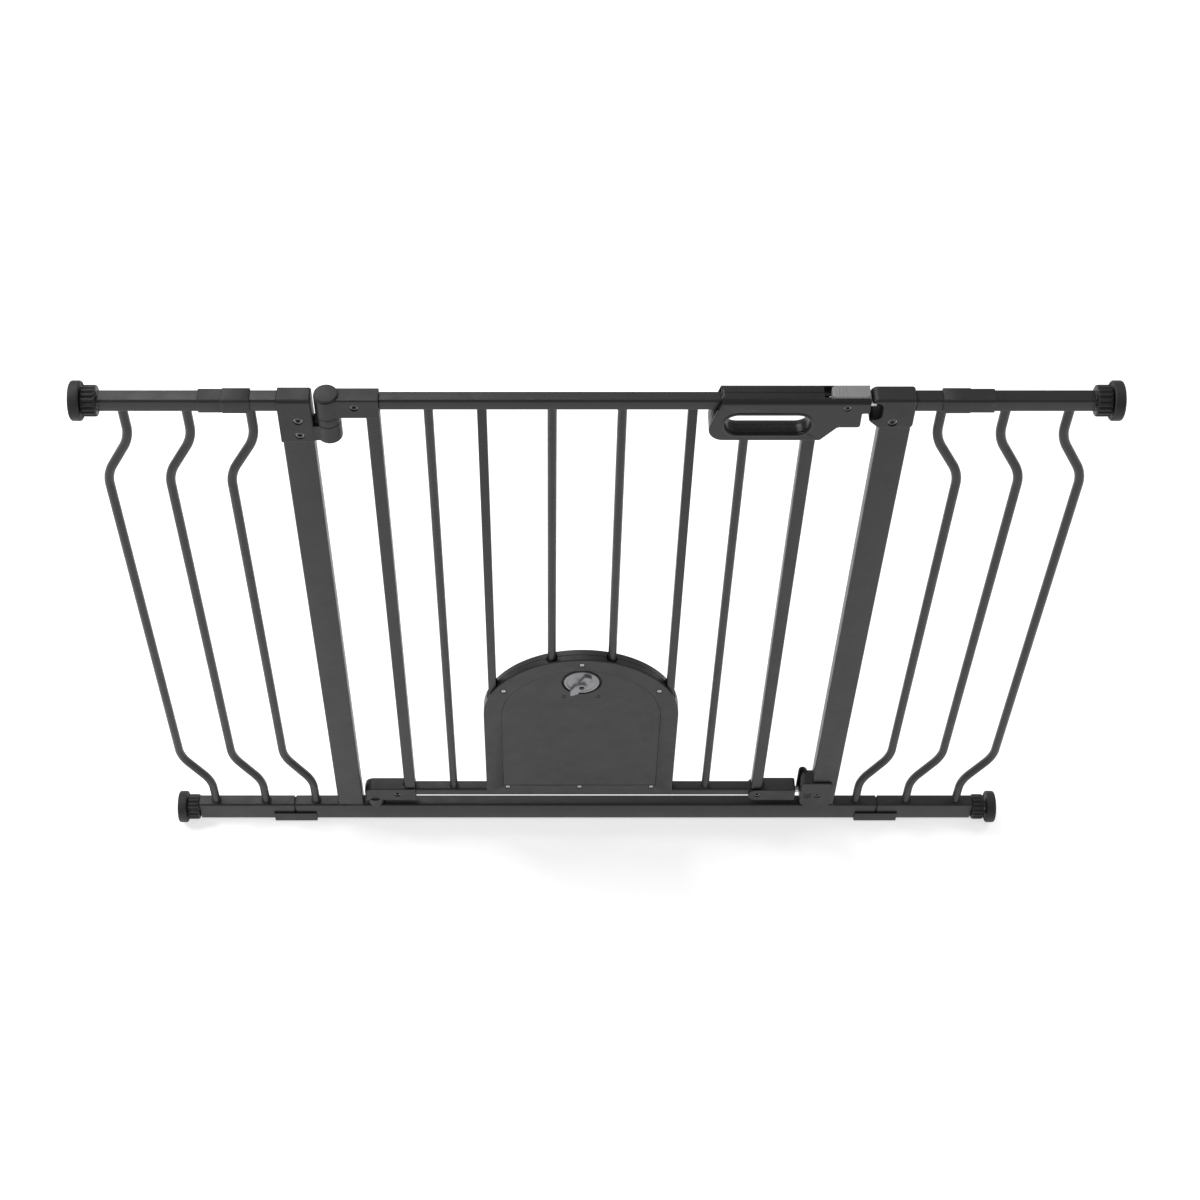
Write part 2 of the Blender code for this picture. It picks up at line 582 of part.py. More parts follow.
def door_caps(plastic, steel):
    low, high = ARM
    arm = hinge_cap("hinge_arm", low, high, ARM_HALF, (low - 5 * MM, DOOR_TOP + GAP), 0, plastic)
    cut(arm, cylinder((HINGE_X, 0), HINGE_PIN + GAP, "Z", low - 5 * MM, high + 5 * MM), "bore")

    low, high = DOOR_LOW - 8 * MM, DOOR_LOW + DOOR_TUBE + 3 * MM
    pocket = (DOOR_LOW - GAP, high + 5 * MM)
    cap = hinge_cap("lower_left_cap", low, high, LOWER_LEFT_HALF, pocket, 10 * MM, plastic)
    boss_low = RAIL_HEIGHT + GAP + STUD_FLANGE[1] + 0.5 * MM
    join(cap, cylinder((HINGE_X, 0), BOSS_RADIUS, "Z", boss_low, low + 1 * MM), "boss")
    cut(cap, cylinder((HINGE_X, 0), HINGE_PIN + PIN_PLAY, "Z", boss_low - 5 * MM, high - 3 * MM),
        "bore")

    low, high, half = DOOR_LOW - 6.4 * MM, DOOR_LOW + DOOR_TUBE + 2 * MM, LOWER_RIGHT_HALF
    x0, x1 = DOOR_RIGHT - DOOR_TUBE - 3 * MM, PIN_END - 6 * MM
    front = rounded([(x0, low), (x1, low), (x1, high), (x0, high)], [10 * MM, 1 * MM, 1 * MM, 10 * MM])
    cap = add("lower_right_cap", prism(front, "Y", -half, half), plastic, bevel=0.8 * MM)
    cut(cap, door_post_pocket(DOOR_RIGHT - DOOR_TUBE, DOOR_LOW - GAP, high + 5 * MM, False),
        "post_pocket")
    centre = (DOOR_RIGHT - DOOR_HALF, 0)
    cut(cap, cylinder(centre, half - 0.5 * MM, "Z", high - 4 * MM, high + 5 * MM), "round_relief")
    at = (0, (low + high) / 2)
    cut(cap, cylinder(at, HINGE_PIN + GAP, "X", x1 - 15 * MM, x1 + 5 * MM), "pin_hole")
    pin = [(x1 - 15 * MM + GAP, HINGE_PIN), (PIN_END - 1 * MM, HINGE_PIN), (PIN_END, HINGE_PIN - 1 * MM)]
    add("bottom_pin", turned(pin, at, "X"), steel)


# ---------------------------------------------------------------- handle and latch

def stadium(centre, length, height, steps=6):
    radius = height / 2
    reach = length / 2 - radius
    right = arc((centre[0] + reach, centre[1]), radius, -90, 90, steps)
    left = arc((centre[0] - reach, centre[1]), radius, 90, 270, steps)
    return right + left


def handle_outline():
    right, top = HANDLE_END, HANDLE_TOP
    points = [(right, top), (right - 138 * MM, top), (right - 153.5 * MM, HANDLE_LOW),
              (right - 43 * MM, HANDLE_LOW), (right - 28 * MM, top - 36 * MM),
              (right - 7 * MM, top - 36 * MM), (right - 7 * MM, top - 17 * MM), (right, top - 17 * MM)]
    return rounded(points, [1 * MM, 3 * MM, 14 * MM, 4 * MM, 4 * MM, 3 * MM, 1.5 * MM, 1 * MM])


def handle_shell(name, low, high, raised, gloss):
    """Half of the handle, with room for the rail, the post, a bar and the latch."""
    shell = add(name, prism(handle_outline(), "Y", low, high), gloss, bevel=1.5 * MM)
    centre = (HANDLE_END - GRIP[0], HANDLE_TOP - GRIP[1])
    if raised:
        rim = stadium(centre, GRIP_SIZE[0] + 2 * GRIP_RIM, GRIP_SIZE[1] + 2 * GRIP_RIM)
        join(shell, prism(rim, "Y", low - raised, low + 3 * MM), "grip_rim", bevel=1.2 * MM)
    cut(shell, prism(stadium(centre, *GRIP_SIZE), "Y", -40 * MM, 40 * MM), "grip")
    half = DOOR_HALF + GAP
    rail_end = DOOR_RIGHT - DOOR_TUBE + 7 * MM
    rail_low = DOOR_TOP - DOOR_TUBE - GAP
    cut(shell, block(DOOR_BARS[0], rail_end, -half, half, rail_low, DOOR_TOP + GAP), "rail_channel")
    post = DOOR_RIGHT - DOOR_TUBE
    cut(shell, block(post - GAP, DOOR_RIGHT + GAP, -half, half, DOOR_LOW, HANDLE_LOW + 5 * MM + GAP),
        "post_pocket")
    cut(shell, cylinder((DOOR_BARS[1], 0), DOOR_BAR / 2 + 0.5 * MM, "Z", DOOR_LOW,
                        HANDLE_LOW + 5 * MM + GAP), "bar_hole")
    bolt_start = HANDLE_END - BUTTON_SIZE[0] - LATCH_TRAVEL - 2 * MM
    cut(shell, cylinder((0, BOLT_HEIGHT), BOLT_RADIUS + 0.5 * MM, "X", bolt_start - 1 * MM,
                        HANDLE_END + 5 * MM), "bolt_way")
    across = BUTTON_SIZE[1] / 2 + 0.4 * MM
    cut(shell, block(bolt_start, HANDLE_END + 5 * MM, -across, across,
                     BOLT_HEIGHT + BOLT_RADIUS + 0.4 * MM, HANDLE_TOP + 5 * MM), "button_way")


def handle(gloss, grey, steel):
    front = -HANDLE_DEPTH / 2
    handle_shell("handle_front", front, -GAP / 2, RIM_RISE, gloss)
    handle_shell("handle_rear", GAP / 2, front + HANDLE_DEPTH - 0.5 * MM, 0, gloss)

    length, width, height = BUTTON_SIZE
    bottom = BOLT_HEIGHT + BOLT_RADIUS + 0.8 * MM
    outline = rectangle(HANDLE_END - length, -width / 2, HANDLE_END, width / 2, 4 * MM, 3)
    add("latch_button", prism(outline, "Z", bottom, bottom + height), grey, bevel=0.8 * MM)
    bolt = [(HANDLE_END - length - 2 * MM, BOLT_RADIUS), (BOLT_TIP - 1.2 * MM, BOLT_RADIUS),
            (BOLT_TIP, BOLT_RADIUS - 1.2 * MM)]
    add("latch_bolt", turned(bolt, (0, BOLT_HEIGHT), "X"), steel)


# ---------------------------------------------------------------- pet flap

def arch(radius, low, steps=20):
    """A doorway outline: straight sides under half a circle."""
    centre = (FLAP_CENTRE, ARCH_HEIGHT)
    return [(FLAP_CENTRE - radius, low), (FLAP_CENTRE + radius, low)] + arc(centre, radius, 0, 180, steps)


def surround_shell(name, low, high, plastic):
    """Half of the flap's surround, with grooves for the uprights, the bars and the door's rail."""
    shell = add(name, prism(arch(ARCH_RADIUS, SURROUND_LOW), "Y", low, high), plastic, bevel=1 * MM)
    cut(shell, prism(arch(ARCH_RADIUS - BAND, SURROUND_LOW + BAND), "Y", -30 * MM, 30 * MM), "doorway")
    half = DOOR_BAR / 2 + GAP
    reach = ARCH_RADIUS - BAND / 2 - 1 * MM
    rail = DOOR_HALF + GAP
    for label, side in SIDES:
        x = FLAP_CENTRE + side * reach
        cut(shell, block(x - half, x + half, -half, half, SURROUND_LOW, DOOR_TOP), f"upright_{label}")
        x = FLAP_CENTRE + side * BAR_SPREAD
        low_end = ARCH_HEIGHT + math.sqrt((ARCH_RADIUS - BAND / 2) ** 2 - BAR_SPREAD ** 2) - GAP
        cut(shell, cylinder((x, 0), DOOR_BAR / 2 + 1 * MM, "Z", low_end, DOOR_TOP), f"bar_{label}")
    cut(shell, block(-POST_IN, POST_IN, -rail, rail, 0, DOOR_LOW + DOOR_TUBE + GAP), "rail_groove")
    if low > 0:
        top = ARCH_HEIGHT + ARCH_RADIUS - BAND
        notch = block(FLAP_CENTRE - TONGUE_NOTCH, FLAP_CENTRE + TONGUE_NOTCH, -1 * MM,
                      TONGUE[1] + 0.7 * MM, top - 12 * MM, top + 7 * MM)
        cut(shell, notch, "tongue_notch")


def along_pointer(outline):
    """Turn an outline drawn along +X about the knob's axis so that it runs along the pointer."""
    turn = Matrix.Rotation(-POINTER, 2)
    centre = Vector((FLAP_CENTRE, KNOB_HEIGHT))
    turned_points = []
    for point in outline:
        spoke = Vector(point)
        spoke.rotate(turn)
        turned_points.append(tuple(centre + spoke))
    return turned_points


def pet_flap(plastic, grey, steel):
    half = SURROUND_DEPTH / 2
    surround_shell("surround_front", -half, -GAP / 2, plastic)
    surround_shell("surround_rear", GAP / 2, half, plastic)

    front = -half + FLAP_SET_BACK
    outline = arch(ARCH_RADIUS - BAND - FLAP_GAP, SURROUND_LOW + BAND + FLAP_GAP)
    hinge = (FLAP_CENTRE - ARCH_RADIUS + BAND + FLAP_GAP / 2, -half, 0)
    flap = add("pet_flap", prism(outline, "Y", front, front + FLAP_THICK), plastic, hinge)
    at = (FLAP_CENTRE, KNOB_HEIGHT)
    floor = front + KNOB_RECESS[1]
    cut(flap, cylinder(at, KNOB_RECESS[0], "Y", front - 5 * MM, floor, 40), "knob_recess")
    cut(flap, cylinder(at, SHAFT + 0.5 * MM, "Y", front - 5 * MM, half), "shaft_hole")

    axis = (FLAP_CENTRE, 0, KNOB_HEIGHT)
    face = floor - GAP - KNOB_THICK
    disc = [(-GAP / 2, SHAFT), (floor - GAP, SHAFT), (floor - GAP, KNOB_RADIUS),
            (face + 0.8 * MM, KNOB_RADIUS), (face, KNOB_RADIUS - 0.8 * MM)]
    knob = add("flap_knob", turned(disc, at, "Y", 40), grey, axis)
    tip, wide = KNOB_RADIUS + GRIP_BAR[0], GRIP_BAR[1]
    grip = [(-KNOB_RADIUS + 3 * MM, -wide), (tip - 7 * MM, -wide), (tip, 0), (tip - 7 * MM, wide),
            (-KNOB_RADIUS + 3 * MM, wide)]
    grip = along_pointer(rounded(grip, [3 * MM, 1 * MM, 1 * MM, 1 * MM, 3 * MM]))
    join(knob, prism(grip, "Y", face - 4 * MM, face + 0.5 * MM), "grip")
    join(knob, cylinder(at, 6 * MM, "Y", face - 7 * MM, face + 0.5 * MM), "boss")

    reach = KNOB_DROP - BAND + 4 * MM
    outline = rectangle(FLAP_CENTRE - 6 * MM, KNOB_HEIGHT - TONGUE_HALF, FLAP_CENTRE + reach,
                        KNOB_HEIGHT + TONGUE_HALF, 3 * MM)
    add("flap_tongue", prism(outline, "Y", *TONGUE), steel, axis)


# ---------------------------------------------------------------- the whole gate

def build():
    clear_scene()
    paint = material("grey paint", 0.055, 0.42)
    plastic = material("grey plastic", 0.045, 0.5)
    gloss = material("dark plastic", 0.03, 0.35)
    button_grey = material("light grey plastic", 0.3, 0.4)
    rubber = material("pad rubber", 0.04, 0.7)
    steel = material("steel", 0.5, 0.3, 1.0)

    frame(paint)
    hinge_bracket(plastic, steel)
    lower_hinge_stud(steel)
    strike_bracket(plastic)
    bottom_catch(plastic)
    heights = (("top", (TOP_LOW + RAIL_TOP) / 2), ("bottom", RAIL_HEIGHT / 2))
    for label, side in SIDES:
        extension(label, side, paint, plastic)
        for level, height in heights:
            loose = LOOSE_PAD if (level, label) == ("bottom", "right") else 0
            wall_mount(f"{level}_{label}", side, height, loose, (plastic, rubber, steel))
    door_frame(paint)
    door_caps(plastic, steel)
    handle(gloss, button_grey, steel)
    pet_flap(plastic, button_grey, steel)


build()
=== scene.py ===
import math
import bmesh
import bpy
import numpy as np
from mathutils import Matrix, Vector
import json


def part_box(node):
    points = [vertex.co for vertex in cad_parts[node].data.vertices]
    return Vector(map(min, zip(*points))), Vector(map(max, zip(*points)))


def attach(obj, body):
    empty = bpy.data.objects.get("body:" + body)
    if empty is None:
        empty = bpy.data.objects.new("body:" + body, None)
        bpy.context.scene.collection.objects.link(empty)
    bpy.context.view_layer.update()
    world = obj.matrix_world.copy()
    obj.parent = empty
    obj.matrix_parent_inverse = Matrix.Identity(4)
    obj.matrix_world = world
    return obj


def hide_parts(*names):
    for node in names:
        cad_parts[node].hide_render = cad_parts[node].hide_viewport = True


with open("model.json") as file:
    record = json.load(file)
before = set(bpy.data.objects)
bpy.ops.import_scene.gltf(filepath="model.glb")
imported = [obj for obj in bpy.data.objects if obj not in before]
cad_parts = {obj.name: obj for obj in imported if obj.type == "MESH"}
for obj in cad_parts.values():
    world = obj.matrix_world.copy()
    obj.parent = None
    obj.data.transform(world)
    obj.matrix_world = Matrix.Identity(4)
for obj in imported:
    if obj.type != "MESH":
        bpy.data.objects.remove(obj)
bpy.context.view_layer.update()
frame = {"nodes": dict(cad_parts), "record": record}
record = frame["record"]
mm = 0.001
bodyOf = {node: body for body, nodes in record["behaviour"]["bodies"].items() for node in nodes}
slotOf = {part["node"]: part["material_slot"] for part in record["subparts"]}
print("frame loaded:", len(frame["nodes"]), "nodes")


def corners(node):
    low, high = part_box(node)
    return np.array(low, float), np.array(high, float)


def middleOf(node):
    low, high = corners(node)
    return (low + high) / 2


def jointPlace(name):
    joint = next(each for each in record["behaviour"]["joints"] if each["name"] == name)
    return np.array(joint["pos_m"], float)


# surface finishes, all worked out from the Object coordinates

def finish(name, look):
    made = bpy.data.materials.new(name)
    made.use_nodes = True
    nodes, links = made.node_tree.nodes, made.node_tree.links
    shader = nodes["Principled BSDF"]
    where = nodes.new("ShaderNodeTexCoord").outputs["Object"]
    if "stretch" in look:  # squeezes the pattern across one direction, for brush marks
        mapping = nodes.new("ShaderNodeMapping")
        mapping.inputs["Scale"].default_value = look["stretch"]
        links.new(where, mapping.inputs["Vector"])
        where = mapping.outputs["Vector"]

    def noise(scale, detail=3.0):
        made = nodes.new("ShaderNodeTexNoise")
        made.inputs["Scale"].default_value = scale
        made.inputs["Detail"].default_value = detail
        links.new(where, made.inputs["Vector"])
        return made.outputs["Fac"]

    def spread(source, low, high, edges=(0.3, 0.7)):
        ranged = nodes.new("ShaderNodeMapRange")
        ranged.inputs["From Min"].default_value, ranged.inputs["From Max"].default_value = edges
        ranged.inputs["To Min"].default_value, ranged.inputs["To Max"].default_value = low, high
        links.new(source, ranged.inputs["Value"])
        return ranged.outputs["Result"]

    # cloudy brightness over the whole piece, times a fine speckle, mixes two shades of the colour
    cloud = spread(noise(look.get("cloudScale", 22)), 0.0, 0.7)
    speck = spread(noise(look.get("speckScale", 1900), 2.0), 0.0, 0.3)
    both = nodes.new("ShaderNodeMath")
    both.operation = "ADD"
    links.new(cloud, both.inputs[0])
    links.new(speck, both.inputs[1])
    shades = nodes.new("ShaderNodeMix")
    shades.data_type = "RGBA"
    base = np.array(look["colour"])
    vary = look.get("vary", 0.12)
    shades.inputs["A"].default_value = (*(base * (1 - vary)), 1)
    shades.inputs["B"].default_value = (*(base * (1 + vary)), 1)
    links.new(both.outputs[0], shades.inputs["Factor"])
    links.new(shades.outputs["Result"], shader.inputs["Base Color"])

    rough, roughVary = look["rough"], look.get("roughVary", 0.05)
    smear = spread(noise(look.get("smearScale", 60), 4.0), rough - roughVary, rough + roughVary)
    links.new(smear, shader.inputs["Roughness"])
    shader.inputs["Metallic"].default_value = look.get("metal", 0.0)
    shader.inputs["Specular IOR Level"].default_value = look.get("specular", 0.5)
    shader.inputs["Emission Color"].default_value = (1, 1, 1, 1)
    shader.inputs["Emission Strength"].default_value = look.get("glow", 0.0)

    normal = None
    for scale, height in look["grain"]:  # bumps of about 1/scale metres, height in metres
        bump = nodes.new("ShaderNodeBump")
        bump.inputs["Strength"].default_value = 1.0
        bump.inputs["Distance"].default_value = height
        links.new(noise(scale, 2.0), bump.inputs["Height"])
        if normal:
            links.new(normal, bump.inputs["Normal"])
        normal = bump.outputs["Normal"]
    links.new(normal, shader.inputs["Normal"])
    return made


finishes = {
    "paint": finish("satinGreyPaint", {
        "colour": (0.023, 0.023, 0.024), "rough": 0.38, "roughVary": 0.05, "vary": 0.14, "specular": 0.34,
        "grain": [(420, 0.00012), (2600, 0.00003)]}),
    "plastic": finish("mouldedGreyPlastic", {
        "colour": (0.021, 0.021, 0.022), "rough": 0.46, "roughVary": 0.05, "vary": 0.10, "specular": 0.36,
        "grain": [(3200, 0.00006), (700, 0.00004)]}),
    "flap": finish("flapPlastic", {
        "colour": (0.024, 0.024, 0.025), "rough": 0.44, "roughVary": 0.06, "vary": 0.10, "specular": 0.36,
        "grain": [(2800, 0.00006), (500, 0.00005)]}),
    "handle": finish("handlePlastic", {
        "colour": (0.017, 0.017, 0.018), "rough": 0.30, "roughVary": 0.05, "vary": 0.10, "specular": 0.38,
        "grain": [(3600, 0.00002), (600, 0.00003)]}),
    # the shadow finish: near-black, used as painted shade in recesses, grooves, gaps and at bar feet, and for
    # the flap's turn marks
    "shadow": finish("paintedShadeAndMarks", {
        "colour": (0.008, 0.008, 0.009), "rough": 0.62, "roughVary": 0.05,
        "grain": [(2500, 0.00005)]}),
    "light": finish("lightGreyPlastic", {
        "colour": (0.26, 0.26, 0.265), "rough": 0.40, "roughVary": 0.06, "vary": 0.05,
        "grain": [(3000, 0.00002), (500, 0.00002)]}),
    "silver": finish("silverPaint", {
        "colour": (0.27, 0.27, 0.28), "rough": 0.38, "roughVary": 0.06, "vary": 0.06, "metal": 0.5,
        "grain": [(4200, 0.00002), (900, 0.00002)]}),
    "rubber": finish("padRubber", {
        "colour": (0.024, 0.024, 0.025), "rough": 0.60, "roughVary": 0.08, "vary": 0.12, "specular": 0.4,
        "grain": [(1500, 0.00007), (260, 0.00006)]}),
    "screw": finish("blackenedSteel", {
        "colour": (0.11, 0.11, 0.115), "rough": 0.34, "roughVary": 0.08, "vary": 0.12, "metal": 1.0,
        "speckScale": 1400, "grain": [(1800, 0.00002)]}),
    "steel": finish("zincSteel", {
        "colour": (0.52, 0.52, 0.53), "rough": 0.30, "roughVary": 0.10, "vary": 0.12, "metal": 1.0,
        "stretch": (0.15, 1.0, 1.0), "speckScale": 1400, "grain": [(1800, 0.00002)]}),
}
print("finishes made:", len(finishes))


# surfaces worked out as arrays

def newPiece(name, points, faces, look, smoothAngle=32):
    mesh = bpy.data.meshes.new(name)
    mesh.from_pydata(points, [], faces)
    made = bmesh.new()
    made.from_mesh(mesh)
    bmesh.ops.recalc_face_normals(made, faces=made.faces)
    made.to_mesh(mesh)
    made.free()
    piece = bpy.data.objects.new(name, mesh)
    bpy.context.collection.objects.link(piece)
    if look:
        mesh.materials.append(finishes[look])
    mesh.shade_smooth()
    mesh.set_sharp_from_angle(angle=math.radians(smoothAngle))
    return piece


def skinFaces(rows, around, closed):
    # quads between neighbouring rings of a grid of rows x around points; closed joins last to first
    index = np.arange(rows * around).reshape(rows, around)
    first, second = (index, np.roll(index, -1, axis=0)) if closed else (index[:-1], index[1:])
    quads = np.stack([first, np.roll(first, -1, axis=1), np.roll(second, -1, axis=1), second], -1)
    return quads.reshape(-1, 4).tolist()


def skin(name, rings, look, closed=False, smoothAngle=32):
    # rings: array (rows, around, 3). An open skin gets a face over its first and last ring.
    rows, around = rings.shape[:2]
    faces = skinFaces(rows, around, closed)
    if not closed:
        faces.append(list(range(around)))
        faces.append(list(range((rows - 1) * around, rows * around)))
    return newPiece(name, rings.reshape(-1, 3), faces, look, smoothAngle)


def ringsAlong(axis, outlines, distances):
    # outlines: (rows, around, 2); each row stands at its own distance along the axis
    along = np.broadcast_to(np.asarray(distances, float)[:, None, None], (*outlines.shape[:2], 1))
    stacked = np.concatenate([outlines, along], axis=-1)
    order = {"X": [2, 0, 1], "Y": [0, 2, 1], "Z": [0, 1, 2]}[axis]
    return stacked[..., order]


def circle(radius, around, centre=(0.0, 0.0)):
    # radius * (cos, sin) of evenly spaced angles, about a centre
    angle = np.linspace(0, 2 * np.pi, around, endpoint=False)
    return np.stack([np.cos(angle), np.sin(angle)], -1) * radius + np.asarray(centre)


def softBox(low, high, radius, steps=5):
    # rectangle from low to high whose corners are quarter circles
    low, high = np.asarray(low, float), np.asarray(high, float)
    quarter = np.linspace(0, np.pi / 2, steps + 1)
    angle = quarter[None, :] + (np.arange(4) * np.pi / 2)[:, None]
    centre = np.array([[high[0], high[1]], [low[0], high[1]], [low[0], low[1]], [high[0], low[1]]])
    inward = np.array([[-1, -1], [1, -1], [1, 1], [-1, 1]]) * radius
    spokes = np.stack([np.cos(angle), np.sin(angle)], -1) * radius
    return ((centre + inward)[:, None, :] + spokes).reshape(-1, 2)


def softOutline(points, radii, steps=8):
    # polygon whose every corner is an arc tangent to both of its sides
    pieces = []
    for i, radius in enumerate(radii):
        corner, back, ahead = (np.array(points[j % len(points)], float) for j in (i, i - 1, i + 1))
        toBack, toAhead = back - corner, ahead - corner
        toBack, toAhead = toBack / np.linalg.norm(toBack), toAhead / np.linalg.norm(toAhead)
        half = math.acos(float(np.clip(toBack @ toAhead, -1, 1))) / 2
        if radius <= 0 or half > 1.5:
            pieces.append(corner[None])
            continue
        middle = toBack + toAhead
        centre = corner + middle / np.linalg.norm(middle) * radius / math.sin(half)
        first = corner + toBack * radius / math.tan(half) - centre
        last = corner + toAhead * radius / math.tan(half) - centre
        sweep = math.atan2(first[0] * last[1] - first[1] * last[0], first @ last)
        turn = np.linspace(0, sweep, steps + 1)
        cos, sin = np.cos(turn)[:, None], np.sin(turn)[:, None]
        pieces.append(centre + first * cos + np.array([-first[1], first[0]]) * sin)
    return np.concatenate(pieces)


def inset(outline, distance):
    # every point moved inwards along the mitre of its two edges; the outline may run either way round
    ahead = np.roll(outline, -1, axis=0) - outline
    ahead /= np.linalg.norm(ahead, axis=1, keepdims=True)
    back = np.roll(ahead, 1, axis=0)
    area = np.sum(outline[:, 0] * np.roll(outline[:, 1], -1) - outline[:, 1] * np.roll(outline[:, 0], -1))
    way = 1.0 if area > 0 else -1.0
    sides = [np.stack([-side[:, 1], side[:, 0]], -1) * way for side in (ahead, back)]
    mitre = (sides[0] + sides[1]) / (1 + np.sum(sides[0] * sides[1], axis=1, keepdims=True))
    return outline + mitre * distance


def softShape(points, radii, steps=8):
    # gives outline(distance): the polygon with its sides moved inwards, an outward corner's radius
    # less by as much and an inward corner's more, so that no arc ever folds over
    points = np.array(points, float)
    ahead, back = np.roll(points, -1, axis=0) - points, points - np.roll(points, 1, axis=0)
    bend = back[:, 0] * ahead[:, 1] - back[:, 1] * ahead[:, 0]
    outward = np.sign(bend) * np.sign(bend.sum())

    def outline(distance):
        left = np.maximum(np.array(radii) - outward * distance, 0.04 * mm)
        return softOutline(inset(points, distance), left.tolist(), steps)

    return outline


def softRect(low, high, radius, steps=6):
    (x0, y0), (x1, y1) = low, high
    return softShape([(x0, y0), (x1, y0), (x1, y1), (x0, y1)], [radius] * 4, steps)


def slabRings(outline, axis, low, high, edge=0.8 * mm, steps=4, farEdge=None):
    # the outline carried from low to high, its edges rounded: inset e(1-sin a) at depth e(1-cos a).
    # The outline is an array, or a softShape
    turn = np.linspace(0, np.pi / 2, steps + 1)
    ends = []
    for radius in (edge, edge if farEdge is None else farEdge):
        ends.append((radius * (1 - np.sin(turn)), radius * (1 - np.cos(turn))))
    insets = np.concatenate([ends[0][0], ends[1][0][::-1]])
    distances = np.concatenate([low + ends[0][1], high - ends[1][1][::-1]])
    shape = outline if callable(outline) else lambda step: inset(outline, step)
    return ringsAlong(axis, np.stack([shape(float(step)) for step in insets]), distances)


def slab(name, outline, axis, low, high, look=None, **edges):
    return skin(name, slabRings(outline, axis, low, high, **edges), look)


def lathe(name, profile, axis, centre, look=None, around=48, smoothAngle=32, closed=False):
    # profile of (distance along, radius) turned about the axis through the centre
    profile = np.array(profile, float)
    rings = circle(1.0, around)[None] * profile[:, 1, None, None] + np.asarray(centre, float)
    return skin(name, ringsAlong(axis, rings, profile[:, 0]), look, closed, smoothAngle)


def softProfile(points, radii, steps=5):
    # an open profile of (distance, radius) points with its inner corners rounded
    return softOutline(points, [0] + list(radii) + [0], steps)


def carve(piece, cutters=(), joined=(), kept=()):
    # keeps what lies inside some helper pieces, joins and cuts others, and leaves a plain mesh
    for kind, helpers in (("INTERSECT", kept), ("UNION", joined), ("DIFFERENCE", cutters)):
        for helper in helpers:
            step = piece.modifiers.new(helper.name, "BOOLEAN")
            step.operation, step.object, step.solver = kind, helper, "EXACT"
    even = piece.modifiers.new("even shading", "WEIGHTED_NORMAL")
    even.keep_sharp, even.weight = True, 60
    bpy.context.view_layer.update()
    solved = piece.evaluated_get(bpy.context.evaluated_depsgraph_get())
    mesh = bpy.data.meshes.new_from_object(solved)
    piece.modifiers.clear()
    old, piece.data = piece.data, mesh
    bpy.data.meshes.remove(old)
    for helper in (*kept, *cutters, *joined):
        bpy.data.objects.remove(helper, do_unlink=True)
    return piece


def standFor(piece, node):
    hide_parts(node)
    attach(piece, bodyOf[node])


def rideWith(piece, node, slotName=None):
    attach(piece, bodyOf[node])
    slotName or slotOf[node]


# square tubes

tubeShape = {"wall": 1.1 * mm, "round": 2.2 * mm, "endSoft": 0.25 * mm, "steps": 6}


def squareTube(node, axis):
    # outer and inner rounded rectangles joined at both ends; the rim of each end is softened
    low, high = corners(node)
    along = "XYZ".index(axis)
    across = [i for i in range(3) if i != along]
    wall, soft = tubeShape["wall"], tubeShape["endSoft"]

    def section(step):
        radius = tubeShape["round"] - step
        return softBox(low[across] + step, high[across] - step, radius, tubeShape["steps"])

    start, end = low[along], high[along]
    insets = [soft, 0, 0, soft, wall, wall]
    places = [start, start + soft, end - soft, end, end, start]
    rings = ringsAlong(axis, np.stack([section(step) for step in insets]), places)
    standFor(skin(node + "Skin", rings, "paint", closed=True), node)


for node in ("bottom_rail", "top_stub_left", "top_stub_right", "extension_top_left",
             "extension_top_right", "extension_bottom_left", "extension_bottom_right",
             "door_rail_top", "door_rail_bottom"):
    squareTube(node, "X")
for node in ("post_left", "post_right", "door_post_left", "door_post_right"):
    squareTube(node, "Z")
print("square tubes made")


# bars

barShape = {"radius": 4.75 * mm, "lean": math.radians(29), "bend": 60 * mm, "jogHeight": 70 * mm,
            "around": 32, "doorRadius": 4.5 * mm}
footShape = {"weldRise": 1.7 * mm, "weldWidth": 1.5 * mm, "ripple": 0.16 * mm, "weldIn": 1.2 * mm,
             "collar": 1.5 * mm, "collarRise": 0.55 * mm, "gap": 0.3 * mm}


def sweptBar(path, radius, around):
    # a circle carried along a path in the gate's plane: path + radius (cos side + sin Y)
    path = np.asarray(path, float)
    ahead = np.gradient(path, axis=0)
    ahead /= np.linalg.norm(ahead, axis=1, keepdims=True)
    angle = np.linspace(0, 2 * np.pi, around, endpoint=False)
    side = np.stack([ahead[:, 1], -ahead[:, 0]], -1)
    across = path[:, None, :] + radius * np.cos(angle)[None, :, None] * side[:, None, :]
    depth = np.broadcast_to(radius * np.sin(angle), across.shape[:2])
    return np.stack([across[..., 0], depth, across[..., 1]], -1)


def weld(name, x, z, up, radius, node, seed):
    # a small hollow-sided fillet round a bar's end: width falls with height, with a slow ripple
    turn = np.linspace(0, np.pi / 2, 6)
    around = 40
    angle = np.linspace(0, 2 * np.pi, around, endpoint=False)
    ripple = footShape["ripple"] * (np.sin(7 * angle + seed) + 0.6 * np.sin(11 * angle + 2.1 * seed))
    width = footShape["weldWidth"] * (1 - np.sin(turn))
    rise = footShape["weldRise"] * (1 - np.cos(turn))
    radii = radius - 0.4 * mm + width[:, None] + ripple[None, :] * (width[:, None] > 0.2 * mm)
    radii = np.concatenate([radii, np.full((1, around), radius - footShape["weldIn"])])
    heights = z + up * (np.append(rise, rise[-1]) + 0.05 * mm)
    heights[0] = z - up * 0.25 * mm
    flat = np.stack([x + radii * np.cos(angle), radii * np.sin(angle)], -1)
    rideWith(skin(name, ringsAlong("Z", flat, heights), "paint", smoothAngle=60), node)


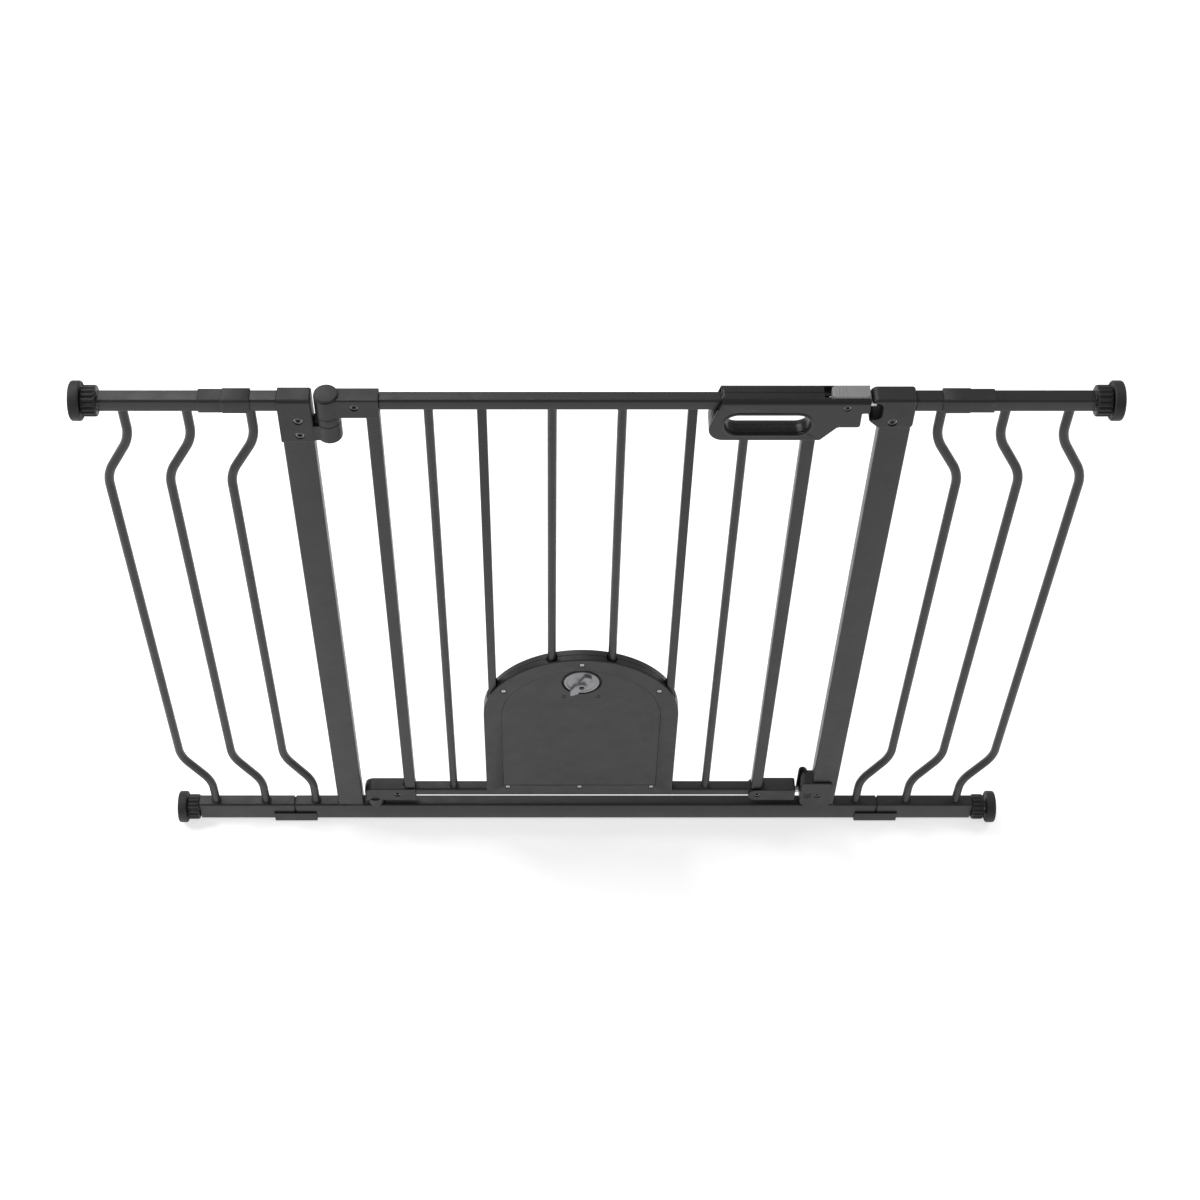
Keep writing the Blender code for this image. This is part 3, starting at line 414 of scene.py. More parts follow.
def footShadeRing(name, x, z, radius, node):
    # a flat dark ring round the hole a bar stands in, in the shadow finish: painted shade at the bar's foot
    wide, rise = footShape["collar"], footShape["collarRise"]
    profile = [(z - footShape["gap"], radius + wide), (z + rise * 0.6, radius + wide),
               (z + rise, radius + wide * 0.6), (z + rise, radius - 0.5 * mm)]
    rideWith(lathe(name, profile, "Z", (x, 0), "shadow", 40), node, "grey_plastic")


def curvedBar(node, number):
    low, high = corners(node)
    side = 1 if low[0] > 0 else -1
    radius = barShape["radius"]
    near, far = (low[0], high[0]) if side > 0 else (high[0], low[0])
    start, jog = near + side * radius, abs(far - near) - 2 * radius
    rise = jog / math.tan(barShape["lean"]) / 2
    foot, head = low[2], high[2]
    lower, upper = foot + barShape["jogHeight"], head - barShape["jogHeight"]
    corner = [(start, foot), (start, lower - rise), (start + side * jog, lower + rise),
              (start + side * jog, upper - rise), (start, upper + rise), (start, head)]
    path = softOutline(corner, [0] + [barShape["bend"]] * 4 + [0], 18)
    piece = skin(node + "Skin", sweptBar(path, radius, barShape["around"]), "paint")
    standFor(piece, node)
    footShadeRing(node + "Foot", start, foot, radius, node)
    weld(node + "Head", start, head + footShape["gap"], -1, radius, node, number)


barNodes = [f"{part}_{side}" for side in ("left", "right")
            for part in ("frame_bar", "extension_bar_inner", "extension_bar_outer")]
for number, node in enumerate(barNodes):
    curvedBar(node, number)

for number in (1, 2, 3, 4):
    node = f"door_bar_{number}"
    low, high = corners(node)
    x, radius, gap = middleOf(node)[0], barShape["doorRadius"], footShape["gap"]
    ends = [(low[2], radius), (high[2], radius)]
    standFor(lathe(node + "Skin", ends, "Z", (x, 0), "paint", 32), node)
    if number in (1, 4):
        weld(node + "Foot", x, low[2] - gap, 1, radius, node, number)
    if number != 4:
        weld(node + "Head", x, high[2] + gap, -1, radius, node, number + 5)

for side in ("left", "right"):
    node = f"flap_upright_{side}"
    low, high = corners(node)
    standFor(slab(node + "Skin", softRect(low[:2], high[:2], 1.1 * mm, 4), "Z", low[2], high[2],
                  "paint", edge=0.3 * mm), node)
print("bars made")


beadShape = {"corner": 2.4 * mm, "thick": 1.3 * mm, "inset": 0.2 * mm, "steps": 240, "start": 1.7}


def footBead(node):
    # a weld bead laid round a post's foot: a small circle carried round a rounded rectangle, with
    # its thickness rippling as the welder's steps
    low, high = corners(node)
    shape, steps = beadShape, beadShape["steps"]
    centre, reach = (low[:2] + high[:2]) / 2, (high[:2] - low[:2]) / 2 - shape["inset"]
    path = softBox(centre - reach, centre + reach, shape["corner"], 14)
    fine = np.linspace(0, len(path), steps, endpoint=False)
    wrapped = np.vstack([path, path[:1]])
    lengths = np.arange(len(wrapped))
    path = np.stack([np.interp(fine, lengths, wrapped[:, 0]), np.interp(fine, lengths, wrapped[:, 1])], -1)
    ahead = np.roll(path, -1, axis=0) - np.roll(path, 1, axis=0)
    ahead /= np.linalg.norm(ahead, axis=1, keepdims=True)
    out = np.stack([ahead[:, 1], -ahead[:, 0]], -1)
    angle = np.linspace(0, 2 * np.pi, 12, endpoint=False)
    step = np.arange(steps) * 2 * np.pi / steps
    size = shape["thick"] * (1 + 0.10 * np.sin(38 * step + shape["start"]) + 0.06 * np.sin(17 * step))
    across = path[:, None, :] + (size[:, None] * np.cos(angle)[None, :])[..., None] * out[:, None, :]
    height = low[2] + size[:, None] * np.sin(angle)[None, :]
    rings = np.concatenate([across, height[..., None]], -1)
    rideWith(skin(node + "Weld", rings, "paint", closed=True, smoothAngle=80), node)


for side in ("left", "right"):
    footBead(f"post_{side}")
print("welds made")


# screws

screwShape = {  # shares of the head's radius
    "rise": 0.2, "skirt": 0.75, "hexReach": 0.46, "hexSlope": 0.05, "hexDepth": 0.6,
    "armHalf": 0.15, "armSlope": 0.06, "armReach": 0.62, "armFade": 0.1, "armDepth": 0.42,
    "highlightRimBack": 0.08, "shadeFloorReach": 0.44, "shadeFloorBack": (0.30, 0.45)}
paintedHighlightRim, wellMouth = 0.42 * mm, (0.7 * mm, 1.2 * mm)  # the bright rim's thickness, a painted highlight; the mouth's rise and flare


def screwHead(name, place, radius, node, socket="hex"):
    # a shallow dome whose height is rise sqrt(1 - (r/R)^4), less a hexagon or a cross sunk in its
    # middle; a hexagon head also has a bright steel rim, a painted highlight, and its socket a dark
    # floor in the shadow finish, painted shade
    shape = screwShape
    rows, around = 26, 96
    share = np.linspace(0.02, 1, rows) ** 0.9
    angle = np.linspace(0, 2 * np.pi, around, endpoint=False)
    r, a = np.meshgrid(share * radius, angle, indexing="ij")
    if socket == "hex":
        reach = r * np.cos((a + np.pi / 6) % (np.pi / 3) - np.pi / 6)
        sunk = np.clip((radius * shape["hexReach"] - reach) / (shape["hexSlope"] * radius), 0, 1)
        sunk = sunk * radius * shape["hexDepth"]
    else:
        arm = np.minimum(np.abs(r * np.cos(a)), np.abs(r * np.sin(a)))
        sunk = np.clip((radius * shape["armHalf"] - arm) / (shape["armSlope"] * radius), 0, 1)
        sunk = sunk * np.clip((radius * shape["armReach"] - r) / (shape["armFade"] * radius), 0, 1)
        sunk = sunk * radius * shape["armDepth"]
    rise = radius * shape["rise"] * np.sqrt(np.clip(1 - (r / radius) ** 4, 0, 1)) - sunk
    rise = np.concatenate([rise, np.full((1, around), -radius * shape["skirt"])])
    r, a = np.vstack([r, r[-1:]]), np.vstack([a, a[-1:]])
    x, y, z = place
    rings = np.stack([x + r * np.cos(a), y - rise, z + r * np.sin(a)], -1)
    piece = skin(name, rings, "screw" if socket == "hex" else "steel", smoothAngle=38)
    rideWith(piece, node, "bare_steel")
    if socket == "hex":
        # a bright steel ring round the head's edge: a painted highlight standing in for the lit chamfer
        turn = np.linspace(0, 2 * np.pi, 12, endpoint=False)
        depths = y - radius * shape["highlightRimBack"] + paintedHighlightRim * np.sin(turn)
        radii = radius - 0.1 * mm + paintedHighlightRim * np.cos(turn)
        flat = circle(1.0, 64)[None] * radii[:, None, None] + np.array([x, z])
        rim = skin(name + "Rim", ringsAlong("Y", flat, depths), "steel", closed=True, smoothAngle=80)
        rideWith(rim, node, "bare_steel")
        # a dark disc in the shadow finish on the socket's floor: painted shade in the socket
        reach, (front, back) = radius * shape["shadeFloorReach"], (y + radius * b for b in shape["shadeFloorBack"])
        floor = [(front, 0.3 * mm), (front, reach), (back, reach), (back, 0.3 * mm)]
        rideWith(lathe(name + "SocketShade", floor, "Y", (x, z), "shadow", 24), node, "bare_steel")


def screwWell(centre, radius, depth):
    # cutter for a screw's recess in a front face: a straight hole with a chamfered mouth; centre is
    # x, z and the face's y
    x, z, face = centre
    rise, flare = wellMouth
    profile = [(face - rise, radius + flare), (face + 0.5 * mm, radius), (face + depth, radius)]
    return lathe("well", profile, "Y", (x, z), None, 40)


# frame fittings

hingeShape = {"barrel": 12 * mm, "around": 56, "armHalf": 8.75 * mm, "armScrew": (23 * mm, 2 * mm),
              "camSoft": 0.3 * mm}


def drum(name, low, high, radius, soft, centre, look=None, inner=2 * mm):
    # an upright cylinder whose lower and upper edges are rounded by the two radii of soft
    profile = softProfile([(low, inner), (low, radius), (high, radius), (high, inner)], soft)
    return lathe(name, profile, "Z", centre[:2], look, hingeShape["around"])


def hingeBracket():
    node = "hinge_bracket"
    size = {"edge": 3.6 * mm, "half": 10 * mm, "armHalf": 8.6 * mm,
            "knuckleTop": 716 * mm, "knuckleUp": 2 * mm,  # above the floor; above the bracket's foot
            "screw": 4.3 * mm, "screwAside": 2.3 * mm, "screwDrop": (28 * mm, 48 * mm)}
    low, high = corners(node)
    hinge = jointPlace("door_swing")
    right = corners("post_left")[1][0] + 1 * mm
    depth = size["half"]
    section = softRect((-depth, low[2]), (depth, high[2]), size["edge"], 7)
    cap = slab(node + "Skin", section, "X", low[0], right, "plastic", edge=0.9 * mm, farEdge=2.4 * mm)
    knuckleLow, knuckleTop = low[2] + size["knuckleUp"], size["knuckleTop"]
    armLow, armHigh = (right - 3 * mm, -size["armHalf"]), (hinge[0], size["armHalf"])
    arm = slab("arm", softRect(armLow, armHigh, 0.5 * mm), "Z", knuckleLow + 1 * mm, knuckleTop - 1 * mm,
               edge=0.7 * mm)
    barrel = drum("barrel", knuckleLow, knuckleTop, hingeShape["barrel"], [1.2 * mm, 0.8 * mm], hinge)
    x = (low[0] + right) / 2 + size["screwAside"]
    wells = [screwWell((x, high[2] - drop, -depth), size["screw"], 3 * mm) for drop in size["screwDrop"]]
    carve(cap, wells, [arm, barrel])
    standFor(cap, node)
    for i, drop in enumerate(size["screwDrop"]):
        screwHead(f"bracketScrew{i + 1}", (x, -depth + 2.2 * mm, high[2] - drop), 3.9 * mm, node)

    node = "hinge_cam"
    low, high = corners(node)
    standFor(drum(node + "Skin", low[2], high[2], (high[1] - low[1]) / 2, [hingeShape["camSoft"]] * 2,
                  hinge, "plastic", 3 * mm), node)


hingeBracket()


def strikeBracket():
    node = "strike_bracket"
    size = {"corner": [3 * mm, 3 * mm, 2.5 * mm, 2.5 * mm, 3 * mm, 6.5 * mm],
            "chamfer": (9.5 * mm, 3 * mm), "edge": 2.8 * mm, "pocket": 6.3 * mm,
            "pocketDepth": 8 * mm, "ramp": 11 * mm, "screw": 4.6 * mm, "screwAside": 1.2 * mm,
            "screwDrop": 30.5 * mm}
    low, high = corners(node)
    bolt = middleOf("latch_bolt")[2]
    left, right = size["chamfer"]
    outline = softShape([(low[0], low[2] + left), (low[0] + left, low[2]), (high[0] - right, low[2]),
                         (high[0], low[2] + right), (high[0], high[2]), (low[0], high[2])],
                        size["corner"], 8)
    cap = slab(node + "Skin", outline, "Y", low[1], high[1], "plastic", edge=size["edge"], steps=6)
    start, depth = low[0] - 5 * mm, low[0] + size["pocketDepth"]
    pocket = lathe("pocket", [(start, size["pocket"]), (depth, size["pocket"])], "X", (0, bolt), None, 48)
    wayOut = slab("wayOut", softRect((start, bolt - size["pocket"]), (depth, bolt + size["pocket"]),
                                     0.4 * mm), "Y", low[1] - 5 * mm, 0.0, edge=0.1 * mm)
    ramp = lathe("ramp", softProfile([(start, size["ramp"]), (depth + 3.5 * mm, size["ramp"]),
                                      (depth + 3.5 * mm, 1 * mm)], [6 * mm]), "X",
                 (low[1], bolt - 5 * mm), None, 64)
    x, z = middleOf(node)[0] + size["screwAside"], high[2] - size["screwDrop"]
    well = screwWell((x, z, low[1]), size["screw"], 3 * mm)
    carve(cap, [pocket, wayOut, ramp, well])
    standFor(cap, node)
    screwHead("strikeScrew", (x, low[1] + 2.6 * mm, z), 4.2 * mm, node)


def bottomCatch():
    node = "bottom_catch"
    size = {"corner": [12 * mm, 1.5 * mm, 5 * mm, 3 * mm], "edge": 1.4 * mm, "screw": 3.9 * mm,
            "screwAt": (4.6 * mm, 23.6 * mm), "stopInner": 3.4 * mm, "stopWall": 1.7 * mm,
            "stopAt": (1.2 * mm, 6.2 * mm), "half": 10 * mm,
            "chevron": 4.8 * mm, "chevronThick": 1.5 * mm, "chevronAt": (8.2 * mm, 26.4 * mm, 3.6 * mm)}
    low, high = corners(node)
    left, front, back = low[0] + 4 * mm, -size["half"], size["half"]
    top = high[2] - 5 * mm
    outline = softShape([(left, low[2]), (high[0], low[2]), (high[0], top), (left, top)],
                        size["corner"], 8)
    body = slab(node + "Skin", outline, "Y", front, back, "plastic", edge=size["edge"])
    # half-round stop behind the pin: an arc wall with its open side towards the user
    inner, wall = size["stopInner"], size["stopWall"]
    turn = np.linspace(0, np.pi, 17)
    centre = np.array([left, 0]) + size["stopAt"]
    arcs = [np.stack([np.cos(turn), np.sin(turn)], -1) * r for r in (inner + wall, inner)]
    plan = np.concatenate([arcs[0], arcs[1][::-1]]) + centre
    stop = slab("stop", plan, "Z", low[2] + 10 * mm, high[2], None, edge=0.35 * mm)
    x, z = middleOf(node)[0] + size["screwAt"][0], low[2] + size["screwAt"][1]
    well = screwWell((x, z, front), size["screw"], 3 * mm)
    carve(body, [well], [stop])
    standFor(body, node)
    screwHead("catchScrew", (x, front + 2.5 * mm, z), 3.6 * mm, node)
    # three chevrons that point down: flat marks in the shadow finish, painted shade standing in for engraved
    # grooves
    reach, thick = size["chevron"], size["chevronThick"]
    aside, up, apart = size["chevronAt"]
    arm = reach * 0.75
    for i in range(3):
        apex = np.array([left + aside, low[2] + up - i * apart])
        shape = [(-reach, arm), (-reach, arm - thick), (0, -thick), (reach, arm - thick), (reach, arm),
                 (0, 0)]
        mark = softShape(np.array(shape) + apex, [0.3 * mm] * 6, 3)
        rideWith(slab(f"catchChevronShade{i + 1}", mark, "Y", front - 0.3 * mm, front + 0.3 * mm, "shadow",
                      edge=0.12 * mm), node)


strikeBracket()
bottomCatch()


def lowerStud():
    node = "lower_hinge_stud"
    low, high = corners(node)
    hinge = jointPlace("door_swing")
    profile = softProfile([(low[2], 1 * mm), (low[2], 9 * mm), (low[2] + 1.2 * mm, 9 * mm),
                           (low[2] + 1.2 * mm, 4 * mm), (high[2], 4 * mm), (high[2], 0.6 * mm)],
                          [0.2 * mm, 0.4 * mm, 0.3 * mm, 1.2 * mm])
    standFor(lathe(node + "Skin", profile, "Z", hinge[:2], "screw"), node)


lowerStud()
print("frame fittings made")


# joints of the extensions

def topSleeve(side):
    # a rounded square carried along X whose half-size steps down at the joint, with a bore
    node = f"top_sleeve_{side}"
    low, high = corners(node)
    stub, tube = corners(f"top_stub_{side}"), corners(f"extension_top_{side}")
    sign = 1 if side == "right" else -1
    inner, outer = (low[0], high[0]) if sign > 0 else (high[0], low[0])
    joint = (stub[1][0] + tube[0][0]) / 2 if sign > 0 else (stub[0][0] + tube[1][0]) / 2
    height = (tube[0][2] + tube[1][2]) / 2
    wide = (high[2] - low[2]) / 2
    narrow, bore, soft = wide - 0.45 * mm, 7.6 * mm, 0.7 * mm
    stations = [(inner, wide - soft), (inner + sign * 0.2 * mm, wide - 0.3 * mm), (inner + sign * soft, wide),
                (joint - sign * 1.6 * mm, wide), (joint - sign * 0.9 * mm, wide - 0.1 * mm),
                (joint - sign * 0.4 * mm, narrow), (outer - sign * soft, narrow),
                (outer - sign * 0.2 * mm, narrow - 0.3 * mm), (outer, narrow - soft), (outer, bore),
                (inner, bore)]
    outlines = []
    for _, reach in stations:
        radius = 2.6 * mm if reach > 8 * mm else 2.0 * mm
        outlines.append(softBox((-reach, height - reach), (reach, height + reach), radius, 6))
    rings = ringsAlong("X", np.stack(outlines), [x for x, _ in stations])
    standFor(skin(node + "Skin", rings, "plastic", closed=True), node)


def bottomClip(side):
    node = f"bottom_clip_{side}"
    low, high = corners(node)
    rail = corners("bottom_rail")
    tube = corners(f"extension_bottom_{side}")
    outer, inner, lip = high[1], 7.75 * mm, low[2] + 17.5 * mm
    base = rail[0][2]
    cup = [(-outer, low[2]), (outer, low[2]), (outer, lip), (inner, lip), (inner, base - 0.2 * mm),
           (-inner, base - 0.2 * mm), (-inner, lip), (-outer, lip)]
    outline = softShape(cup, [2 * mm, 2 * mm, 0.9 * mm, 0.4 * mm, 1.2 * mm, 1.2 * mm, 0.4 * mm,
                              0.9 * mm], 6)
    clip = slab(node + "Skin", outline, "X", low[0], high[0], "plastic", edge=0.7 * mm)
    standFor(clip, node)
    middle = (rail[1][0] + tube[0][0]) / 2 if side == "right" else (rail[0][0] + tube[1][0]) / 2
    # a plug between the tube ends in the shadow finish: painted shade in the gap between the tubes
    plug = softRect((-6 * mm, base + 1.5 * mm), (6 * mm, rail[1][2] - 1.5 * mm), 1.4 * mm, 4)
    rideWith(slab(f"clipPlugShade{side.title()}", plug, "X", middle - 14 * mm, middle + 14 * mm, "shadow",
                  edge=0.8 * mm), node)


for side in ("left", "right"):
    topSleeve(side)
    bottomClip(side)
print("sleeves and clips made")


# wall mounts

mountShape = {"flutes": 18, "fluteDepth": 1.7 * mm, "thread": 2 * mm, "threadDepth": 0.55 * mm,
              "padGroove": 0.5 * mm}


def handNut(node):
    # radius = R - depth * |cos(n a)|^k on the barrel, fading out towards both chamfered ends
    low, high = corners(node)
    centre = (0.0, (low[2] + high[2]) / 2)
    radius = (high[1] - low[1]) / 2
    around = mountShape["flutes"] * 12
    angle = np.linspace(0, 2 * np.pi, around, endpoint=False)
    wave = (0.5 + 0.5 * np.cos(mountShape["flutes"] * angle)) ** 1.6
    length = high[0] - low[0]
    share = np.array([0, 0.03, 0.10, 0.18, 0.5, 0.82, 0.90, 0.97, 1.0])
    drop = np.array([1.8, 0.7, 0.12, 0, 0, 0, 0.12, 0.7, 1.8]) * mm
    fade = np.array([0, 0.35, 0.9, 1, 1, 1, 0.9, 0.35, 0])
    radii = radius - drop[:, None] - mountShape["fluteDepth"] * fade[:, None] * wave[None, :]
    collar = np.array([[radius * 0.62], [radius * 0.60], [4.3 * mm], [4.3 * mm], [radius * 0.60],
                       [radius * 0.62]]) * np.ones((1, around))
    places = low[0] + length * share
    back = np.array([places[-1], places[-1] - 0.8 * mm, places[-1] - 0.8 * mm, places[0] + 0.8 * mm,
                     places[0] + 0.8 * mm, places[0]])
    radii, places = np.concatenate([radii, collar]), np.concatenate([places, back])
    flat = np.stack([np.cos(angle), np.sin(angle)], -1)[None] * radii[..., None] + np.array(centre)
    standFor(skin(node + "Skin", ringsAlong("X", flat, places), "plastic", closed=True), node)


def wallPad(node, sign):
    low, high = corners(node)
    radius, centre = (high[1] - low[1]) / 2, (0.0, (low[2] + high[2]) / 2)
    inner, outer = (low[0], high[0]) if sign > 0 else (high[0], low[0])
    groove = mountShape["padGroove"]
    points = [(inner, 4.4 * mm), (inner, 8.5 * mm), (inner + sign * 1.2 * mm, 9.5 * mm),
              (inner + sign * 1.2 * mm, radius - 3.4 * mm), (inner, radius - 2.4 * mm),
              (inner, radius), (outer, radius), (outer, radius - 5 * mm),
              (outer - sign * groove, radius - 5.6 * mm), (outer - sign * groove, radius - 6.6 * mm),
              (outer, radius - 7.2 * mm), (outer, 1 * mm)]
    radii = [0.3 * mm, 0.5 * mm, 0.5 * mm, 0.5 * mm, 1.8 * mm, 2.4 * mm, 0.3 * mm, 0.2 * mm, 0.2 * mm,
             0.3 * mm]
    standFor(lathe(node + "Skin", softProfile(points, radii), "X", centre, "rubber", 72), node)


def threadedSpindle(node):
    # radius falls by a triangle wave of (x / pitch - turn), so the groove winds round as a helix
    low, high = corners(node)
    centre = (0.0, (low[2] + high[2]) / 2)
    around, pitch = 24, mountShape["thread"]
    rows = int((high[0] - low[0]) / pitch * 6) + 1
    x = np.linspace(low[0], high[0], rows)
    angle = np.linspace(0, 2 * np.pi, around, endpoint=False)
    wave = (x[:, None] / pitch - angle[None, :] / (2 * np.pi)) % 1.0
    ends = np.clip(np.minimum(x - low[0], high[0] - x) / (2 * mm), 0.0, 1.0)[:, None]
    radii = 4 * mm - mountShape["threadDepth"] * (1 - np.abs(2 * wave - 1)) - 0.6 * mm * (1 - ends)
    flat = np.stack([np.cos(angle), np.sin(angle)], -1)[None] * radii[..., None] + np.array(centre)
    standFor(skin(node + "Skin", ringsAlong("X", flat, x), "steel", smoothAngle=50), node)


for level in ("top", "bottom"):
    for side, sign in (("left", -1), ("right", 1)):
        handNut(f"nut_{level}_{side}")
        wallPad(f"pad_{level}_{side}", sign)
        threadedSpindle(f"spindle_{level}_{side}")
print("wall mounts made")


# door fittings

def hingeArm():
    node = "hinge_arm"
    low, high = corners(node)
    hinge = jointPlace("door_swing")
    half, (aside, up) = hingeShape["armHalf"], hingeShape["armScrew"]
    section = softRect((-half, low[2]), (half, high[2]), 1.6 * mm, 6)
    arm = slab(node + "Skin", section, "X", hinge[0] + 2 * mm, high[0], "plastic", edge=0.7 * mm)
    barrel = drum("barrel", low[2], high[2], hingeShape["barrel"], [0.8 * mm, 1.6 * mm], hinge)
    x, z = high[0] - aside, middleOf(node)[2] + up
    carve(arm, [screwWell((x, z, -half), 3.9 * mm, 3 * mm)], [barrel])
    standFor(arm, node)
    screwHead("armScrew", (x, -half + 2.5 * mm, z), 3.6 * mm, node)

    node = "upper_hinge_pin"
    low, high = corners(node)
    head, radius = high[2] - 1.6 * mm, (high[1] - low[1]) / 2
    profile = softProfile([(low[2], 1 * mm), (low[2], 4 * mm), (head, 4 * mm), (head, radius),
                           (high[2], radius), (high[2], 1 * mm)], [0.8 * mm, 0.1 * mm, 0.1 * mm, 0.9 * mm])
    standFor(lathe(node + "Skin", profile, "Z", hinge[:2], "plastic"), node)


capShape = {  # the left cap turns about the hinge, the right one carries the pin
    "leftHalf": 8.4 * mm, "base": 11 * mm, "boss": 10.5 * mm, "roundEnd": 12.6 * mm, "leftRelief": 8.0 * mm,
    "leftScrew": 22 * mm, "rightRelief": 8.9 * mm, "rightScrew": 10.5 * mm}


def postRelief(post, radius, top):
    # cutter for the shallow round seat in which a door post stands
    return lathe("relief", [(top - 4 * mm, radius), (top + 5 * mm, radius)], "Z", middleOf(post)[:2], None)


def lowerCaps():
    node = "lower_left_cap"
    low, high = corners(node)
    hinge = jointPlace("door_swing")
    half, base = capShape["leftHalf"], low[2] + capShape["base"]
    front = softShape([(low[0], base), (high[0], base), (high[0], high[2]), (low[0], high[2])],
                      [1.5 * mm, 1 * mm, 1 * mm, 11 * mm], 8)
    cap = slab(node + "Skin", front, "Y", -half, half, "plastic", edge=1.4 * mm, steps=5)
    boss = drum("boss", low[2], base + 2 * mm, capShape["boss"], [3 * mm, 0.2 * mm], hinge)
    # the left end is round about the hinge axis, so that it clears the post as the door turns
    turn = np.linspace(np.pi / 2, 3 * np.pi / 2, 25)
    reach = capShape["roundEnd"]
    plan = np.stack([hinge[0] + reach * np.cos(turn), reach * np.sin(turn)], -1)
    plan = np.concatenate([[(high[0] + 5 * mm, reach)], plan, [(high[0] + 5 * mm, -reach)]])
    keep = slab("keep", plan, "Z", low[2] - 5 * mm, high[2] + 5 * mm, edge=0.01 * mm, steps=1)
    x, z = high[0] - capShape["leftScrew"], (base + high[2]) / 2
    well = screwWell((x, z, -half), 3.9 * mm, 3 * mm)
    carve(cap, [postRelief("door_post_left", capShape["leftRelief"], high[2]), well], [boss], [keep])
    standFor(cap, node)
    screwHead("lowerLeftScrew", (x, -half + 2.5 * mm, z), 3.6 * mm, node)

    node = "lower_right_cap"
    low, high = corners(node)
    half = (high[1] - low[1]) / 2
    front = softShape([(low[0], low[2]), (high[0], low[2]), (high[0], high[2]), (low[0], high[2])],
                      [9.8 * mm, 1 * mm, 2.5 * mm, 9.8 * mm], 10)
    cap = slab(node + "Skin", front, "Y", -half, half, "plastic", edge=0.9 * mm)
    x, z = low[0] + capShape["rightScrew"], middleOf(node)[2]
    well = screwWell((x, z, -half), 3.7 * mm, 2.6 * mm)
    carve(cap, [postRelief("door_post_right", capShape["rightRelief"], high[2]), well])
    standFor(cap, node)
    screwHead("lowerRightScrew", (x, -half + 2.2 * mm, z), 3.4 * mm, node)

    node = "bottom_pin"
    low, high = corners(node)
    radius = (high[2] - low[2]) / 2
    profile = softProfile([(low[0], 1 * mm), (low[0], radius), (high[0], radius), (high[0], 0.8 * mm)],
                          [0.5 * mm, 1.4 * mm])
    standFor(lathe(node + "Skin", profile, "X", (0, (low[2] + high[2]) / 2), "steel"), node)


hingeArm()
lowerCaps()
print("door fittings made")


# handle and latch

handleShape = {"height": 54 * mm, "topReach": 138 * mm, "footReach": 153.5 * mm, "footEnd": 43 * mm,
               "notch": (28 * mm, 36 * mm), "nose": (7 * mm, 17 * mm), "lip": 1.6 * mm,
               "soft": [1 * mm, 3 * mm, 14 * mm, 4 * mm, 4 * mm, 3 * mm, 1.5 * mm, 1 * mm],
               "edge": 1.3 * mm, "fold": 5.5 * mm, "slot": (81.6 * mm, 26.6 * mm),
               "slotAt": (94 * mm, 32 * mm), "rimWidth": 3.0 * mm, "rimRise": 0.7 * mm, "wall": 2.0 * mm,
               "pocket": (160 * mm, 22 * mm, 6.4 * mm), "seam": 0.15 * mm,
               "buttonWay": (7.2 * mm, 8.3 * mm), "boltWay": 6 * mm,
               "screwAt": (21.5 * mm, 9.6 * mm), "screw": 3.4 * mm, "sleeveBack": 2.3 * mm,
               "draft": 0.35 * mm, "flareAt": 2.2 * mm, "flareReach": 7 * mm, "flareDrop": 7 * mm}


def stadium(centre, length, height, steps=16):
    # two half circles joined by straight sides
    radius = height / 2
    turn = np.linspace(-np.pi / 2, np.pi / 2, steps + 1)
    cap = np.stack([np.cos(turn), np.sin(turn)], -1) * radius
    reach = np.array([length / 2 - radius, 0])
    return np.concatenate([cap + reach, -cap - reach]) + np.array(centre)


